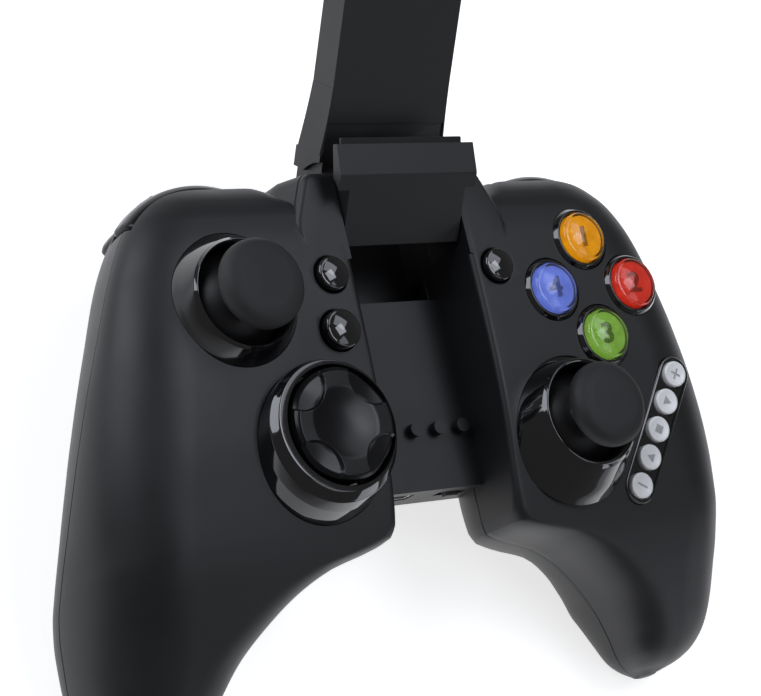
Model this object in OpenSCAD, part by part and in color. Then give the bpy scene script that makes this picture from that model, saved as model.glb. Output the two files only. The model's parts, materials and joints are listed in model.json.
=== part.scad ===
// Game controller with two grips, a sunken middle bay and a phone holder.
// It lies on its back: +X right, +Y towards the shoulder buttons, +Z out of the face.
// The origin is the middle of the flat under the rear hump, where the controller rests.

/* [Body] */
// Width across the two grips
body_w = 155; // [140:1:170]
// Height of the control face above the rest plane
face_h = 40; // [38:0.5:44]
// Wall of the two shells
wall = 2.2; // [1.8:0.1:2.8]
// Clear width of the middle bay
bay_w = 28.8; // [28.6:0.1:30]
// Depth of the bay floor under the face
bay_depth = 13.5; // [11:0.5:15]
// Depth of the holder's recess under the face
recess_depth = 22.8; // [21:0.1:23]

/* [Controls] */
// Left stick place on the face
left_stick_at = [-42.3, 4.7]; // [-50:0.1:50]
// Right stick place on the face
right_stick_at = [31.5, -24.1]; // [-50:0.1:50]
// Direction pad place on the face
dpad_place = [-27.6, -21.8]; // [-50:0.1:50]
// Middle of the four face buttons
face_place = [43.3, 3]; // [-50:0.1:60]
// Distance of each face button from that middle
face_pitch = 10.5; // [9.8:0.1:12]
// Radius of a face button
face_r = 5.25; // [4.5:0.05:5.6]
// Radius of the rubber stick caps
cap_r = 8.75; // [7:0.05:9.2]
// Radius of the direction pad
dpad_r = 10.9; // [9:0.1:11]
// Radius of a media button
media_r = 2.7; // [2:0.1:3]
// Step between media buttons
media_step = 6.45; // [6:0.05:7]
// Turn of the media row against the grip
media_turn = -31.2; // [-40:0.1:-20]
// Play between a moving control and its hole
play = 0.3; // [0.3:0.05:0.4]

/* [Holder] */
// Lean of the holder against the face
lean = 36; // [20:1:60]
// Width of the holder's rail
rail_w = 28; // [24:0.1:28]
// Thickness of the holder's rail
rail_t = 7.2; // [6.6:0.1:8]
// Length of the rail above the jaw
rail_l = 40; // [34:1:44]
// Width of the lip
lip_w = 33; // [30:0.1:36]
// Opening of the jaws when closed
jaw = 56; // [54:1:62]
// Radius of the hinge pin
pin_r = 1.5; // [1.2:0.1:1.8]
// Radial play of a turning fit
turn_play = 0.05; // [0.02:0.01:0.09]

/* [Hidden] */
$fn = 64;
half_bay = bay_w / 2;
wide = body_w / 155;
deep = face_h / 40;
function spread(p) = [p[0] * wide, p[1]];
left_stick = spread(left_stick_at);
right_stick = spread(right_stick_at);
dpad_at = spread(dpad_place);
face_at = spread(face_place);
// holder frame: y runs along the rail, z out of its front face
rail_at = [0, 36.4, 0.2];
hinge_at = [0, 22.5, -7];
// shoulder arc that the bumper and trigger follow
arc_at = [41 * wide, 8, 0];
pivot_z = -8;
board_top = -14;
board_t = 1.6;
trigger_y = 15;
trigger_z = -19;
centre_seam = bay_depth + 2;
slab = 2.2;
socket_h = 3.8;
// the main board and its socket share the room between tray and bay floor
main_board_z = -recess_depth + 0.63 * (recess_depth - centre_seam - board_t - socket_h);
soft_black = [0.10, 0.10, 0.11];
gloss_black = [0.03, 0.03, 0.035];
dark_grey = [0.16, 0.16, 0.17];
rubber = [0.05, 0.05, 0.055];
steel = [0.62, 0.62, 0.64];
green_board = [0.05, 0.22, 0.12];
silver = [0.78, 0.79, 0.80];

// Stations of a wing: y, inner x, outer x, top, outer seam, inner seam, bottom,
// inner edge radius across and down, outer top, outer bottom and inner bottom radius
wing = [
  [30.4, 33, 48, -9.5, -11, -11, -23, 4, 1.4, 6, 6, 6],
  [28.9, 28.5, 51, -6, -9.5, -12, -25, 4, 3, 9, 9, 9],
  [25.6, 24, 55, -2.8, -8.4, -14, -26.5, 5, 4, 12, 11, 12],
  [21.2, 18, 58.8, -0.9, -7.8, -17, -27.6, 3, 3, 14, 12, 14],
  [14, half_bay, 62.8, 0, -8.2, -17, -28.6, 1.6, 1.6, 15, 13, 16],
  [2, half_bay, 67.3, 0, -10, -17, -29.4, 1.6, 1.6, 16, 14, 16],
  [-10, half_bay, 71.1, -0.3, -12.8, -17, -30.4, 1.6, 1.6, 17, 14, 16],
  [-20, half_bay, 73.7, -1, -15.6, -17, -31.8, 1.6, 1.6, 18, 14, 16],
  [-32, half_bay, 76, -2.7, -20, -17, -34.4, 1.6, 1.6, 18, 13.5, 18],
  [-40, half_bay, 77, -4.2, -24, -17, -36.8, 2.6, 2.6, 18, 12.5, 26],
  [-42.4, half_bay + 0.6, 77.3, -5, -25, -17.2, -37.4, 4, 4, 18, 12, 34],
  [-43.8, half_bay + 3.6, 77.4, -5.5, -25.8, -17.8, -37.8, 5.5, 5, 18, 11.5, 38],
  [-46.2, 27, 77.5, -6.5, -27, -19.8, -38.4, 7, 6.5, 18, 11, 36],
  [-49.6, 34, 77.5, -8.2, -28.2, -22, -39.2, 8, 8, 18, 10.5, 24],
  [-54, 40, 77.2, -10.6, -29.4, -24.6, -39.8, 8.5, 8.5, 18, 9.5, 13],
  [-60, 46, 76.6, -14.2, -31, -27.6, -40, 9, 9, 17, 9, 5.5],
  [-66, 49.8, 74.8, -18.2, -32.4, -29.8, -39.8, 9, 8, 14, 8.5, 5],
  [-70.5, 52.2, 71.4, -22, -33.2, -31.4, -39, 7, 6, 11, 7.5, 5],
  [-73, 55, 66.8, -25.6, -33.6, -32.8, -37.8, 4, 4.5, 6.5, 6, 4.5],
  [-74.4, 58, 62, -30, -33.8, -33.6, -36.4, 1.8, 2, 2, 2, 1.9]
];
last_hollow = 16;
wing_mid = (wing[0][0] + wing[len(wing) - 1][0]) / 2;
wing_l = wing[0][0] - wing[len(wing) - 1][0];

function bow(cx, cz, rx, rz, a0, a1, n) =
  [for (k = [0:n]) let(a = a0 + (a1 - a0) * k / n) [cx + rx * cos(a), cz + rz * sin(a)]];

// quarter bow that is fuller than a round one
function swell(cx, cz, rx, rz, n) =
  [for (k = [0:n]) let(a = 90 * k / n) [cx - rx * pow(cos(a), 0.8), cz + rz * pow(sin(a), 0.8)]];

// upper half of a wing section, moved in by w and carried down past the seam by d
function front_section(s, w, d) =
  let(
    rx = max(s[7] - w, 0.5),
    rz = max(min(s[8], 0.96 * (s[3] - s[5])) - w, 0.5),
    ro = max(s[9] - w, 1),
    xi = s[1] + w,
    xo = s[2] * wide - w,
    zt = s[3] - w
  )
  concat(
    [[xi, s[5] - d]],
    swell(xi + rx, zt - rz, rx, rz, 4),
    bow(xo - ro, s[4], ro, zt - s[4], 90, 0, 7),
    d > 0 ? [[xo, s[4] - d]] : []
  );

// lower half of a wing section, moved in by w and carried up past the seam by d
function rear_section(s, w, d) =
  let(
    ro = max(s[10] - w, 1),
    ri = max(s[11] - w, 1),
    xi = s[1] + w,
    xo = s[2] * wide - w,
    zb = s[6] * deep + w
  )
  concat(
    d > 0 ? [[xo, s[4] + d]] : [],
    bow(xo - ro, s[4], ro, s[4] - zb, 0, -90, 7),
    bow(xi + ri, s[5], ri, s[5] - zb, -90, -180, 5),
    d > 0 ? [[xi, s[5] + d]] : []
  );

function station_y(y, w) = wing_mid + (y - wing_mid) * (1 - 2 * w / wing_l);

// solid through a list of sections with equal point counts; other turns the folds between them
module loft(rows, other = false) {
  n = len(rows);
  m = len(rows[0]);
  function corner(i, j) = i * m + j % m;
  polyhedron(
    points = [for (r = rows) for (p = r) p],
    faces = concat(
      [[for (j = [m - 1:-1:0]) j]],
      [[for (j = [0:m - 1]) (n - 1) * m + j]],
      [for (i = [0:n - 2]) for (j = [0:m - 1]) [corner(i, j), corner(i, j + 1), corner(i + 1, other ? j : j + 1)]],
      [for (i = [0:n - 2]) for (j = [0:m - 1]) [corner(i, other ? j + 1 : j), corner(i + 1, j + 1), corner(i + 1, j)]]
    )
  );
}

module wing_front() {
  loft([for (s = wing) [for (p = front_section(s, 0, 0)) [p[0], s[0], p[1]]]]);
}

module wing_rear() {
  loft([for (s = wing) [for (p = rear_section(s, 0, 0)) [p[0], s[0], p[1]]]], true);
}

module wing_front_hollow() {
  difference() {
    loft([for (i = [1:last_hollow]) let(s = wing[i])
      [for (p = front_section(s, wall, 2.5)) [p[0], station_y(s[0], wall), p[1]]]]);
    shoulder_block();
  }
}

module wing_rear_hollow() {
  difference() {
    loft([for (i = [1:last_hollow]) let(s = wing[i])
      [for (p = rear_section(s, wall, 2.5)) [p[0], station_y(s[0], wall), p[1]]]], true);
    shoulder_block();
  }
}

// part of the shoulder that stays solid around the bumper and trigger
module shoulder_block() {
  difference() {
    translate([arc_at[0] - 13, 12, -45])
      cube([45, 30, 50]);
    translate([arc_at[0], arc_at[1], -46])
      cylinder(r = 14.5, h = 52);
  }
}

module both() {
  children();
  mirror([1, 0, 0])
    children();
}

module on_face() {
  translate([0, 0, face_h])
    children();
}

// ring sector about the shoulder arc
module shoulder_ring(profile, from, to) {
  translate(arc_at)
    rotate([0, 0, from])
      rotate_extrude(angle = to - from)
        polygon(profile);
}

module box_ring(r0, r1, z0, z1, from, to) {
  shoulder_ring([[r0, z0], [r1, z0], [r1, z1], [r0, z1]], from, to);
}

// post beside the holder, wider towards its foot
module post(z_low, z_high) {
  top = [[half_bay, 12], [25.4, 12], [25.4, 19.5], [21.4, 28.6], [20, 29.7], [half_bay + 0.6, 29.7], [half_bay, 29]];
  function at_level(z) =
    let(k = z > -1 ? (z + 1) * -0.7 : min(2.6, (-1 - z) * 0.42))
    [for (i = [0:len(top) - 1])
      [top[i][0] + (i > 0 && i < 5 ? k : 0), top[i][1] + (i > 2 && i < 6 ? k * 0.15 : 0), z]];
  levels = [for (z = [0, -1, -7.2, -25]) if (z < z_high && z > z_low) z];
  loft([for (z = concat([z_high], levels, [z_low])) at_level(z)]);
}

module screw_places() {
  for (p = [[58 * wide, -46, -30.5], [half_bay + 11, -37.5, -25.5], [half_bay + 6, 17, -21.5]])
    for (s = [-1, 1])
      translate([s * p[0], p[1], p[2]])
        children();
}

module front_shell() {
  color(soft_black)
    on_face()
      difference() {
        union() {
          difference() {
            both()
              wing_front();
            both()
              wing_front_hollow();
          }
          // bay floor and its step
          translate([-half_bay - 1, -32.9, -centre_seam])
            cube([bay_w + 2, 39.2, 2]);
          both()
            difference() {
              post(-14, 0);
              wing_rear();
            }
          // screw bosses
          both() {
            translate([58 * wide, -46, -24])
              cylinder(r = 3.2, h = 15.7);
            translate([half_bay + 11, -37.5, -17])
              cylinder(r = 3.2, h = 12);
            translate([half_bay + 6, 17, -15.2])
              cylinder(r = 3, h = 1.8);
          }
        }
        control_holes();
        both() {
          box_ring(17.2, 32, -14.4, -5.6, 37, 122);
        }
        hinge_bore(pin_r);
        screw_places()
          cylinder(r = 1.1, h = 13);
        for (k = [-2:2])
          translate([k * 5.7, -20.7, -bay_depth - 3])
            cylinder(r = 1.1, h = 5);
      }
}

module hinge_bore(r) {
  translate([-21, hinge_at[1], hinge_at[2]])
    rotate([0, 90, 0])
      cylinder(r = r, h = 42);
}

module control_holes() {
  for (p = [left_stick, right_stick])
    translate([p[0], p[1], -12])
      cylinder(r = 13.1, h = 14);
  bezel_skirt(left_stick, [0, 0], 0.1);
  bezel_skirt(right_stick, [0.1, 0.3], 0.1);
  translate([dpad_at[0], dpad_at[1], -12])
    cylinder(r = 12.6, h = 14);
  dpad_skirt(0.1);
  face_places()
    translate([0, 0, -8])
      cylinder(r = 6.8, h = 12);
  key_places() {
    translate([0, 0, -8])
      cylinder(r = key_r($k) + play, h = 12);
    // relief of the key's ears
    translate([-1.5 - play, -key_r($k) - ear - play, -5.8])
      cube([3 + 2 * play, 2 * (key_r($k) + ear + play), 3.6]);
  }
  media_frame()
    translate([0, 0, -6.4])
      oblong(3.85, 4 * media_step, 10.4);
}

// three small keys: 0 left upper, 1 left lower, 2 right
key_at = [[-half_bay - 5.7, 8.6], [-half_bay - 6.8, -2.7], [half_bay + 5.7, 8.6]];
function key_r(k) = k == 1 ? 3.9 : 3.4;
ear = 1.2;

module key_places() {
  for ($k = [0:2])
    translate([key_at[$k][0], key_at[$k][1], 0])
      children();
}

module face_places() {
  for ($k = [0:3])
    translate([face_at[0] + face_pitch * cos(90 * $k), face_at[1] + face_pitch * sin(90 * $k), 0])
      children();
}

// frame of the media row, on the falling face
module media_frame() {
  translate([52.7 * wide, -28.1, -2.3])
    rotate([0, 0, media_turn])
      rotate([7.6, 0, 0])
        children();
}

module oblong(r, l, h) {
  for (s = [-1, 1])
    translate([0, s * l / 2, 0])
      cylinder(r = r, h = h);
  translate([-r, -l / 2, 0])
    cube([2 * r, l, h]);
}

module rear_shell() {
  color(soft_black)
    on_face()
      difference() {
        union() {
          difference() {
            union() {
              both()
                wing_rear();
              hump();
            }
            both()
              wing_rear_hollow();
          }
          centre_tray();
          both() {
            difference() {
              post(-25, -14.2);
              wing_front();
            }
            translate([58 * wide, -46, -37])
              cylinder(r = 4.2, h = 12.6);
            translate([half_bay + 11, -37.5, -29.5])
              cylinder(r = 4.2, h = 12.3);
            // lugs of the trigger pin
            for (x = [arc_at[0] - 7.6, arc_at[0] + 7.8])
              translate([x, trigger_y - 2.5, -27])
                cube([1.8, 5, 11]);
          }
        }
        // battery well, cable ways and holder recess
        translate([-20.4, -15.4, wall - face_h])
          cube([40.8, 18.8, face_h - wall - recess_depth + 1]);
        for (s = [-1, 1])
          translate([s * 17 - 4, -24, -22.4])
            cube([8, 14, 5]);
        translate([-half_bay, 6.3, -recess_depth])
          cube([bay_w, 30, 30]);
        both() {
          box_ring(17.2, 32, -14.4, -5.6, 37, 122);
          box_ring(16.6, 32, -45, -15.6, 42, 118);
          translate([arc_at[0] - 5.6, 9, -25.5])
            cube([13.2, 18, 10.4]);
          translate([arc_at[0] - 11, trigger_y, trigger_z])
            rotate([0, 90, 0])
              cylinder(r = pin_r, h = 24);
        }
        screw_places() {
          cylinder(r = 1.5, h = 20);
          translate([0, 0, -20])
            cylinder(r = 3.1, h = 20);
        }
        // socket and switch windows
        translate([-8.7, -36, main_board_z + board_t - 0.1])
          cube([7.9, 9, 4]);
        translate([5.6, -36, main_board_z + board_t + 0.6])
          cube([7, 9, 2.6]);
      }
}

// flat-bottomed hump over the battery
module hump() {
  hull() {
    translate([-26, -17, -face_h])
      cube([52, 34, 1]);
    translate([-30, -21, -27])
      cube([60, 42, 25.8 - recess_depth]);
  }
}

// floor, front wall and step wall between the wings
module centre_tray() {
  translate([-22, -32.9, -recess_depth - slab])
    cube([44, 62.6, slab]);
  translate([-half_bay + 0.1, -32.9, -recess_depth - 0.1])
    cube([bay_w - 0.2, slab, recess_depth - centre_seam + 0.1]);
  translate([-half_bay + 0.1, 4.1, -recess_depth - 0.1])
    cube([bay_w - 0.2, slab, recess_depth - centre_seam + 0.1]);
}

// stack of rings, each [z, radius], that leans by the given shear about height z0
module leaning_rings(p, shear, z0, rings, grow) {
  loft([for (q = rings) [for (a = [0:7.5:359]) [
    p[0] + (q[0] - z0) * shear[0] + (q[1] + grow) * cos(a),
    p[1] + (q[0] - z0) * shear[1] + (q[1] + grow) * sin(a),
    q[0]]]]);
}

bezel_top = 4.4;
bezel_rings = [[bezel_top, 11.2], [3.4, 11.75], [1, 13], [-1.4, 14.2], [-3.4, 15]];

// flared skirt of a stick bezel; the left one is round about its axis
module bezel_skirt(p, shear, grow) {
  if (norm(shear) == 0)
    translate([p[0], p[1], 0])
      rotate_extrude()
        polygon(concat([[0, bezel_top]], [for (q = bezel_rings) [q[1] + grow - 0.5, q[0]]], [[0, -3.4]]));
  else
    leaning_rings(p, shear, bezel_top, bezel_rings, grow);
}

module stick_bezel(p, shear) {
  color(gloss_black)
    on_face()
      difference() {
        union() {
          bezel_skirt(p, shear, 0);
          translate([p[0], p[1], -4.6])
            cylinder(r = 13, h = 4);
        }
        translate([p[0], p[1], 3.2])
          cylinder(r1 = 10.1, r2 = 10.6, h = 1.5);
        translate([p[0], p[1], -6])
          cylinder(r = 10.1, h = 10);
        translate([p[0], p[1], -6])
          cylinder(r = 11.9, h = 4.6);
      }
}

module left_stick_bezel() {
  stick_bezel(left_stick, [0, 0]);
}

module right_stick_bezel() {
  stick_bezel(right_stick, [0.1, 0.3]);
}

// stick module, yoke, stem and cap about a pivot under the face
module stick_module(p) {
  color(dark_grey)
    on_face()
      translate([p[0], p[1], board_top])
        difference() {
          translate([-7, -7, 0])
            cube([14, 14, 7.5]);
          translate([-5.5, -5.5, 1])
            cube([11, 11, 8]);
          translate([-8, 0, pivot_z - board_top])
            rotate([0, 90, 0])
              cylinder(r = 1 + turn_play, h = 16);
        }
}

module stick_yoke(p) {
  color(silver)
    on_face()
      translate([p[0], p[1], pivot_z])
        difference() {
          union() {
            translate([-4.6, -3.2, -2.4])
              cube([9.2, 6.4, 4.8]);
            translate([-6.9, 0, 0])
              rotate([0, 90, 0])
                cylinder(r = 1, h = 13.8);
          }
          translate([-3.4, -2.2, -3])
            cube([6.8, 4.4, 6]);
          translate([0, 4, 0])
            rotate([90, 0, 0])
              cylinder(r = 0.8 + turn_play, h = 8);
        }
}

module stick_stem(p) {
  color(gloss_black)
    on_face()
      translate([p[0], p[1], pivot_z]) {
        difference() {
          sphere(r = 12);
          sphere(r = 10.8);
          translate([-15, -15, -26.5])
            cube([30, 30, 30]);
        }
        translate([0, 0, -2])
          cylinder(r = 1.5, h = 14);
        translate([0, 3.1, 0])
          rotate([90, 0, 0])
            cylinder(r = 0.8, h = 6.2);
        translate([0, 0, 11])
          cylinder(r = 4, h = 6.4);
      }
}

module stick_cap(p) {
  color(rubber)
    on_face()
      translate([p[0], p[1], 0])
        difference() {
          rotate_extrude()
            polygon([[0, 7], [6.4, 7.2], [cap_r - 0.5, 8], [cap_r, 9.2], [cap_r - 0.15, 10.4], [cap_r - 0.8, 11.3],
              [cap_r - 2, 12], [cap_r - 4, 12.3], [cap_r - 6, 12.2], [0, 12]]);
          translate([0, 0, 6])
            cylinder(r = 4, h = 3.4);
        }
}

module left_stick_module() {
  stick_module(left_stick);
}

module right_stick_module() {
  stick_module(right_stick);
}

module left_stick_yoke() {
  stick_yoke(left_stick);
}

module right_stick_yoke() {
  stick_yoke(right_stick);
}

module left_stick_stem() {
  stick_stem(left_stick);
}

module right_stick_stem() {
  stick_stem(right_stick);
}

module left_stick_cap() {
  stick_cap(left_stick);
}

module right_stick_cap() {
  stick_cap(right_stick);
}

module dpad_skirt(grow) {
  leaning_rings(dpad_at, [0.42, 0.5], 2.4, [[2.4, 12.2], [1.6, 12.9], [0, 13.6], [-2.4, 14.1]], grow);
}

module dpad_bezel() {
  color(gloss_black)
    on_face()
      difference() {
        union() {
          dpad_skirt(0);
          translate([dpad_at[0], dpad_at[1], -8])
            cylinder(r = 12.5, h = 8);
        }
        translate([dpad_at[0], dpad_at[1], -6.6]) {
          difference() {
            cylinder(r = dpad_r + 0.7, h = 12);
            cylinder(r = 1.9, h = 3);
          }
          translate([0, 0, 4.6])
            sphere(r = 2.5 + turn_play);
        }
      }
}

module dpad_pivot() {
  color(silver)
    on_face()
      translate([dpad_at[0], dpad_at[1], -2])
        sphere(r = 2.5);
}

module dpad_membrane() {
  color(rubber)
    on_face()
      translate([dpad_at[0], dpad_at[1], -6.6]) {
        difference() {
          cylinder(r = dpad_r, h = 0.7);
          translate([0, 0, -1])
            cylinder(r = 2.4, h = 3);
        }
        for (a = [0:90:270])
          rotate([0, 0, a])
            translate([7.4, 0, 0])
              cylinder(r = 1.6, h = 1.3);
      }
}

// round pad with a raised cross and four scallops
module dpad() {
  color(gloss_black)
    on_face()
      translate([dpad_at[0], dpad_at[1], 0])
        difference() {
          union() {
            translate([0, 0, -1])
              rotate_extrude()
                polygon([[0, 0], [dpad_r, 0], [dpad_r, 4.6], [dpad_r - 0.5, 5.6], [dpad_r - 1.4, 6], [0, 6]]);
            translate([0, 0, -2])
              cylinder(r = 4.5, h = 2);
            for (a = [0:90:270])
              rotate([0, 0, a])
                translate([7.4, 0, -4])
                  cylinder(r = 1.6, h = 4);
          }
          // scallops between the arms of the cross
          for (a = [45:90:315])
            rotate([0, 0, a])
              translate([11.6, 0, 7.9])
                sphere(r = 6.2);
          translate([0, 0, 35.2])
            sphere(r = 31);
          translate([0, 0, -2])
            sphere(r = 2.5 + turn_play);
        }
}

module face_button_collars() {
  color(gloss_black)
    on_face()
      face_places()
        rotate_extrude()
          polygon([[face_r + play, -2.6], [6.7, -2.6], [6.7, -0.15], [face_r + play + 0.45, 0.8],
            [face_r + play, 0.8]]);
}

module face_button(k, tint) {
  color(tint)
    on_face()
      translate([face_at[0] + face_pitch * cos(90 * k), face_at[1] + face_pitch * sin(90 * k), 0]) {
        intersection() {
          translate([0, 0, -5.2])
            cylinder(r = face_r, h = 12);
          translate([0, 0, -8.1])
            sphere(r = 11);
        }
        translate([0, 0, -5.2])
          cylinder(r = 6.2, h = 2.2);
      }
}

module right_face_button() {
  face_button(0, [0.85, 0.12, 0.1]);
}

module upper_face_button() {
  face_button(1, [0.95, 0.5, 0.08]);
}

module left_face_button() {
  face_button(2, [0.12, 0.22, 0.8]);
}

module lower_face_button() {
  face_button(3, [0.2, 0.62, 0.12]);
}

module face_membrane() {
  color(rubber)
    on_face() {
      translate([face_at[0], face_at[1], board_top])
        cylinder(r = face_pitch + 3.9, h = 1);
      face_places()
        translate([0, 0, board_top + 0.9])
          cylinder(r1 = 3.8, r2 = 2.6, h = 5.2);
    }
}

module key(k, rise) {
  color(gloss_black)
    on_face()
      translate([key_at[k][0], key_at[k][1], 0]) {
        intersection() {
          translate([0, 0, -4.4])
            cylinder(r = key_r(k), h = 12);
          translate([0, 0, rise - 9])
            sphere(r = 9);
        }
        // ears that stop the key at the shell
        translate([-1.5, -key_r(k) - ear, -4.4])
          cube([3, 2 * (key_r(k) + ear), 2]);
      }
}

module left_upper_key() {
  key(0, 1.9);
}

module left_lower_key() {
  key(1, 2.7);
}

module right_key() {
  key(2, 1.9);
}

module media_strip() {
  color(gloss_black)
    on_face()
      media_frame()
        difference() {
          translate([0, 0, -2.4])
            oblong(3.75, 4 * media_step, 2.9);
          for (k = [-2:2])
            translate([0, k * media_step, -4])
              cylinder(r = media_r + play, h = 8);
        }
}

module media_button(k) {
  color(silver)
    on_face()
      media_frame()
        translate([0, (3 - k) * media_step, 0]) {
          translate([0, 0, -4.6])
            rotate_extrude()
              polygon([[0, 0], [media_r, 0], [media_r, 5.5], [media_r - 0.3, 5.8], [0, 5.8]]);
          translate([0, 0, -4.6])
            cylinder(r = 3.1, h = 1.6);
        }
}

module media_button_1() {
  media_button(1);
}

module media_button_2() {
  media_button(2);
}

module media_button_3() {
  media_button(3);
}

module media_button_4() {
  media_button(4);
}

module media_button_5() {
  media_button(5);
}

module light_pipes() {
  color([0.8, 0.85, 0.9])
    on_face()
      for (k = [-2:2])
        translate([k * 5.7, -20.7, -bay_depth - 2.6]) {
          cylinder(r = 1.1, h = 2.4);
          translate([0, 0, -0.8])
            cylinder(r = 1.8, h = 1.4);
        }
}

module right_board() {
  color(green_board)
    on_face()
      translate([0, 0, board_top - board_t])
        linear_extrude(board_t)
          polygon([[half_bay + 3.1, -31], [half_bay + 3.1, 11], [30, 12], [arc_at[0] - 5, 18.5], [arc_at[0] + 8, 18.5],
            [54 * wide, 12], [57 * wide, -10], [57 * wide, -32], [50 * wide, -39], [30 * wide, -39],
            [half_bay + 13.1, -31]]);
}

module left_board() {
  color(green_board)
    on_face()
      translate([0, 0, board_top - board_t])
        linear_extrude(board_t)
          polygon([[-half_bay - 3.1, -31], [-half_bay - 3.1, 11], [-30, 12], [-54 * wide, 12], [-57 * wide, -10],
            [-57 * wide, -32], [-50 * wide, -39], [-30 * wide, -39], [-half_bay - 13.1, -31]]);
}

module main_board() {
  color(green_board)
    on_face()
      translate([-half_bay + 0.8, -30.4, main_board_z])
        cube([bay_w - 1.6, 26, board_t]);
}

module battery() {
  color(silver)
    on_face()
      translate([-20, -15, wall - face_h])
        cube([40, 18, 9.6]);
}

module usb_socket() {
  color(steel)
    on_face()
      translate([-8.6, -32.7, main_board_z + board_t])
        difference() {
          cube([7.7, 7, socket_h]);
          translate([0.5, -1, 0.5])
            cube([6.7, 6.6, socket_h - 1]);
        }
}

module switch_knob() {
  color(dark_grey)
    on_face()
      translate([7.6, 0, 0]) {
        translate([0, -33.6, main_board_z + board_t + 1.1])
          cube([3, 4.4, 1.6]);
        translate([-1.5, -30.4, main_board_z + board_t + 0.1])
          cube([6, 2, 3.4]);
      }
}

module case_screws() {
  color(steel)
    on_face()
      screw_places()
        difference() {
          union() {
            translate([0, 0, -1.7])
              cylinder(r = 2.8, h = 1.7);
            cylinder(r = 1.1, h = 9.5);
          }
          translate([-0.35, -2, -2])
            cube([0.7, 4, 1.2]);
          translate([-2, -0.35, -2])
            cube([4, 0.7, 1.2]);
        }
}

module bumper() {
  color(gloss_black)
    on_face()
      shoulder_ring([[18.6, -6.1], [19.9, -6.1], [21.4, -6.8], [22.4, -8], [22.8, -9.6], [22.8, -12.4], [22.3, -13.6],
        [18.6, -13.8]], 40, 119);
}

module right_bumper() {
  bumper();
}

module left_bumper() {
  mirror([1, 0, 0])
    bumper();
}

module trigger() {
  color(gloss_black)
    on_face()
      difference() {
        union() {
          shoulder_ring([[17.6, -16.4], [20.9, -16.4], [21.5, -17.4], [21.5, -20.4], [21.1, -23.6], [20.2, -25.6],
            [18.9, -25.4], [18.6, -22.6], [18.4, -20.6], [17.6, -19.6]], 47, 110);
          translate([arc_at[0] - 5, trigger_y, trigger_z - 1.4])
            cube([12, 12.4, 2.8]);
          translate([arc_at[0] - 3.6, trigger_y, trigger_z])
            rotate([0, 90, 0])
              cylinder(r = 2.9, h = 9.2);
        }
        translate([arc_at[0] - 11, trigger_y, trigger_z])
          rotate([0, 90, 0])
            cylinder(r = pin_r + turn_play, h = 24);
        translate([arc_at[0] - 11, trigger_y - 6, trigger_z - 4])
          cube([7.4, 9.2, 8]);
        translate([arc_at[0] + 5.6, trigger_y - 6, trigger_z - 4])
          cube([7.4, 9.2, 8]);
      }
}

module right_trigger() {
  trigger();
}

module left_trigger() {
  mirror([1, 0, 0])
    trigger();
}

module trigger_pin() {
  color(steel)
    on_face()
      translate([arc_at[0] - 7.6, trigger_y, trigger_z])
        rotate([0, 90, 0])
          cylinder(r = pin_r, h = 17.2);
}

module right_trigger_pin() {
  trigger_pin();
}

module left_trigger_pin() {
  mirror([1, 0, 0])
    trigger_pin();
}

// square wire wound into a coil along z
module coil(r, wire, pitch, turns, steps) {
  n = turns * steps;
  loft([for (i = [0:n]) let(a = -360 * i / steps, z = pitch * i / steps)
    [for (q = [[-1, -1], [1, -1], [1, 1], [-1, 1]])
      [(r + q[0] * wire / 2) * cos(a), (r + q[0] * wire / 2) * sin(a), z + q[1] * wire / 2]]]);
}

module trigger_spring() {
  color(steel)
    on_face()
      translate([arc_at[0] + 6, trigger_y, trigger_z])
        rotate([0, 90, 0])
          coil(2.1, 0.4, 0.6, 2, 16);
}

module right_trigger_spring() {
  trigger_spring();
}

module left_trigger_spring() {
  mirror([1, 0, 0])
    trigger_spring();
}

module holder_frame() {
  translate([rail_at[0], rail_at[1], face_h + rail_at[2]])
    rotate([lean, 0, 0])
      children();
}

// bar along x with the given outline in the holder frame
module holder_bar(w, outline) {
  translate([-w / 2, 0, 0])
    rotate([90, 0, 90])
      linear_extrude(w)
        polygon(outline);
}

neck_w = bay_w - 0.8;
jaw_floor = -7;
hinge_y = (hinge_at[1] - rail_at[1]) * cos(lean) + (hinge_at[2] - rail_at[2]) * sin(lean);
hinge_z = (hinge_at[2] - rail_at[2]) * cos(lean) - (hinge_at[1] - rail_at[1]) * sin(lean);

module holder_base() {
  color(dark_grey)
    holder_frame()
      difference() {
        union() {
          // neck between the posts
          holder_bar(neck_w, [[-19, 10.2], [jaw_floor, 10], [jaw_floor, -8.8], [-17, -8.8], [-20, -5], [-20.4, 6]]);
          // lip, wider at its top
          holder_bar(lip_w, [[-5.2, 10], [-4.6, 9.95], [0.8, 7.2], [0.4, 6], [jaw_floor - 0.2, 8], [-9, 8],
            [-9, 10]]);
          // cheeks beside the rail
          holder_bar(rail_w + 2, [[-3.4, -8.8], [-3.4, 0], [jaw_floor, 0], [jaw_floor, 8.4], [-9.4, 8.4], [-9.4, -5],
            [-7.6, -5.4], [-7.6, -8.8]]);
        }
        // round relief that lets the wide top pass the posts
        for (s = [-1, 1])
          translate([s * (neck_w / 2 + 10), hinge_y, hinge_z])
            rotate([0, 90, 0])
              cylinder(r = 10.9, h = 20, center = true);
        // slots of the rail and of its tongue
        translate([-rail_w / 2, -7.5, -rail_t])
          cube([rail_w, 30, rail_t]);
        translate([-11.4, -16.2, -rail_t])
          cube([22.8, 30, rail_t]);
        translate([-neck_w, hinge_y, hinge_z])
          rotate([0, 90, 0])
            cylinder(r = pin_r + turn_play, h = 2 * neck_w);
        // tapering sides of the lip
        for (s = [-1, 1])
          translate([s * lip_w / 2, 1.5, 0])
            rotate([0, 0, s * 14])
              translate([s > 0 ? 0 : -8, -14, 3.2])
                cube([8, 14, 9]);
        holder_screw_places()
          cylinder(r = 1, h = 12);
      }
}

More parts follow.
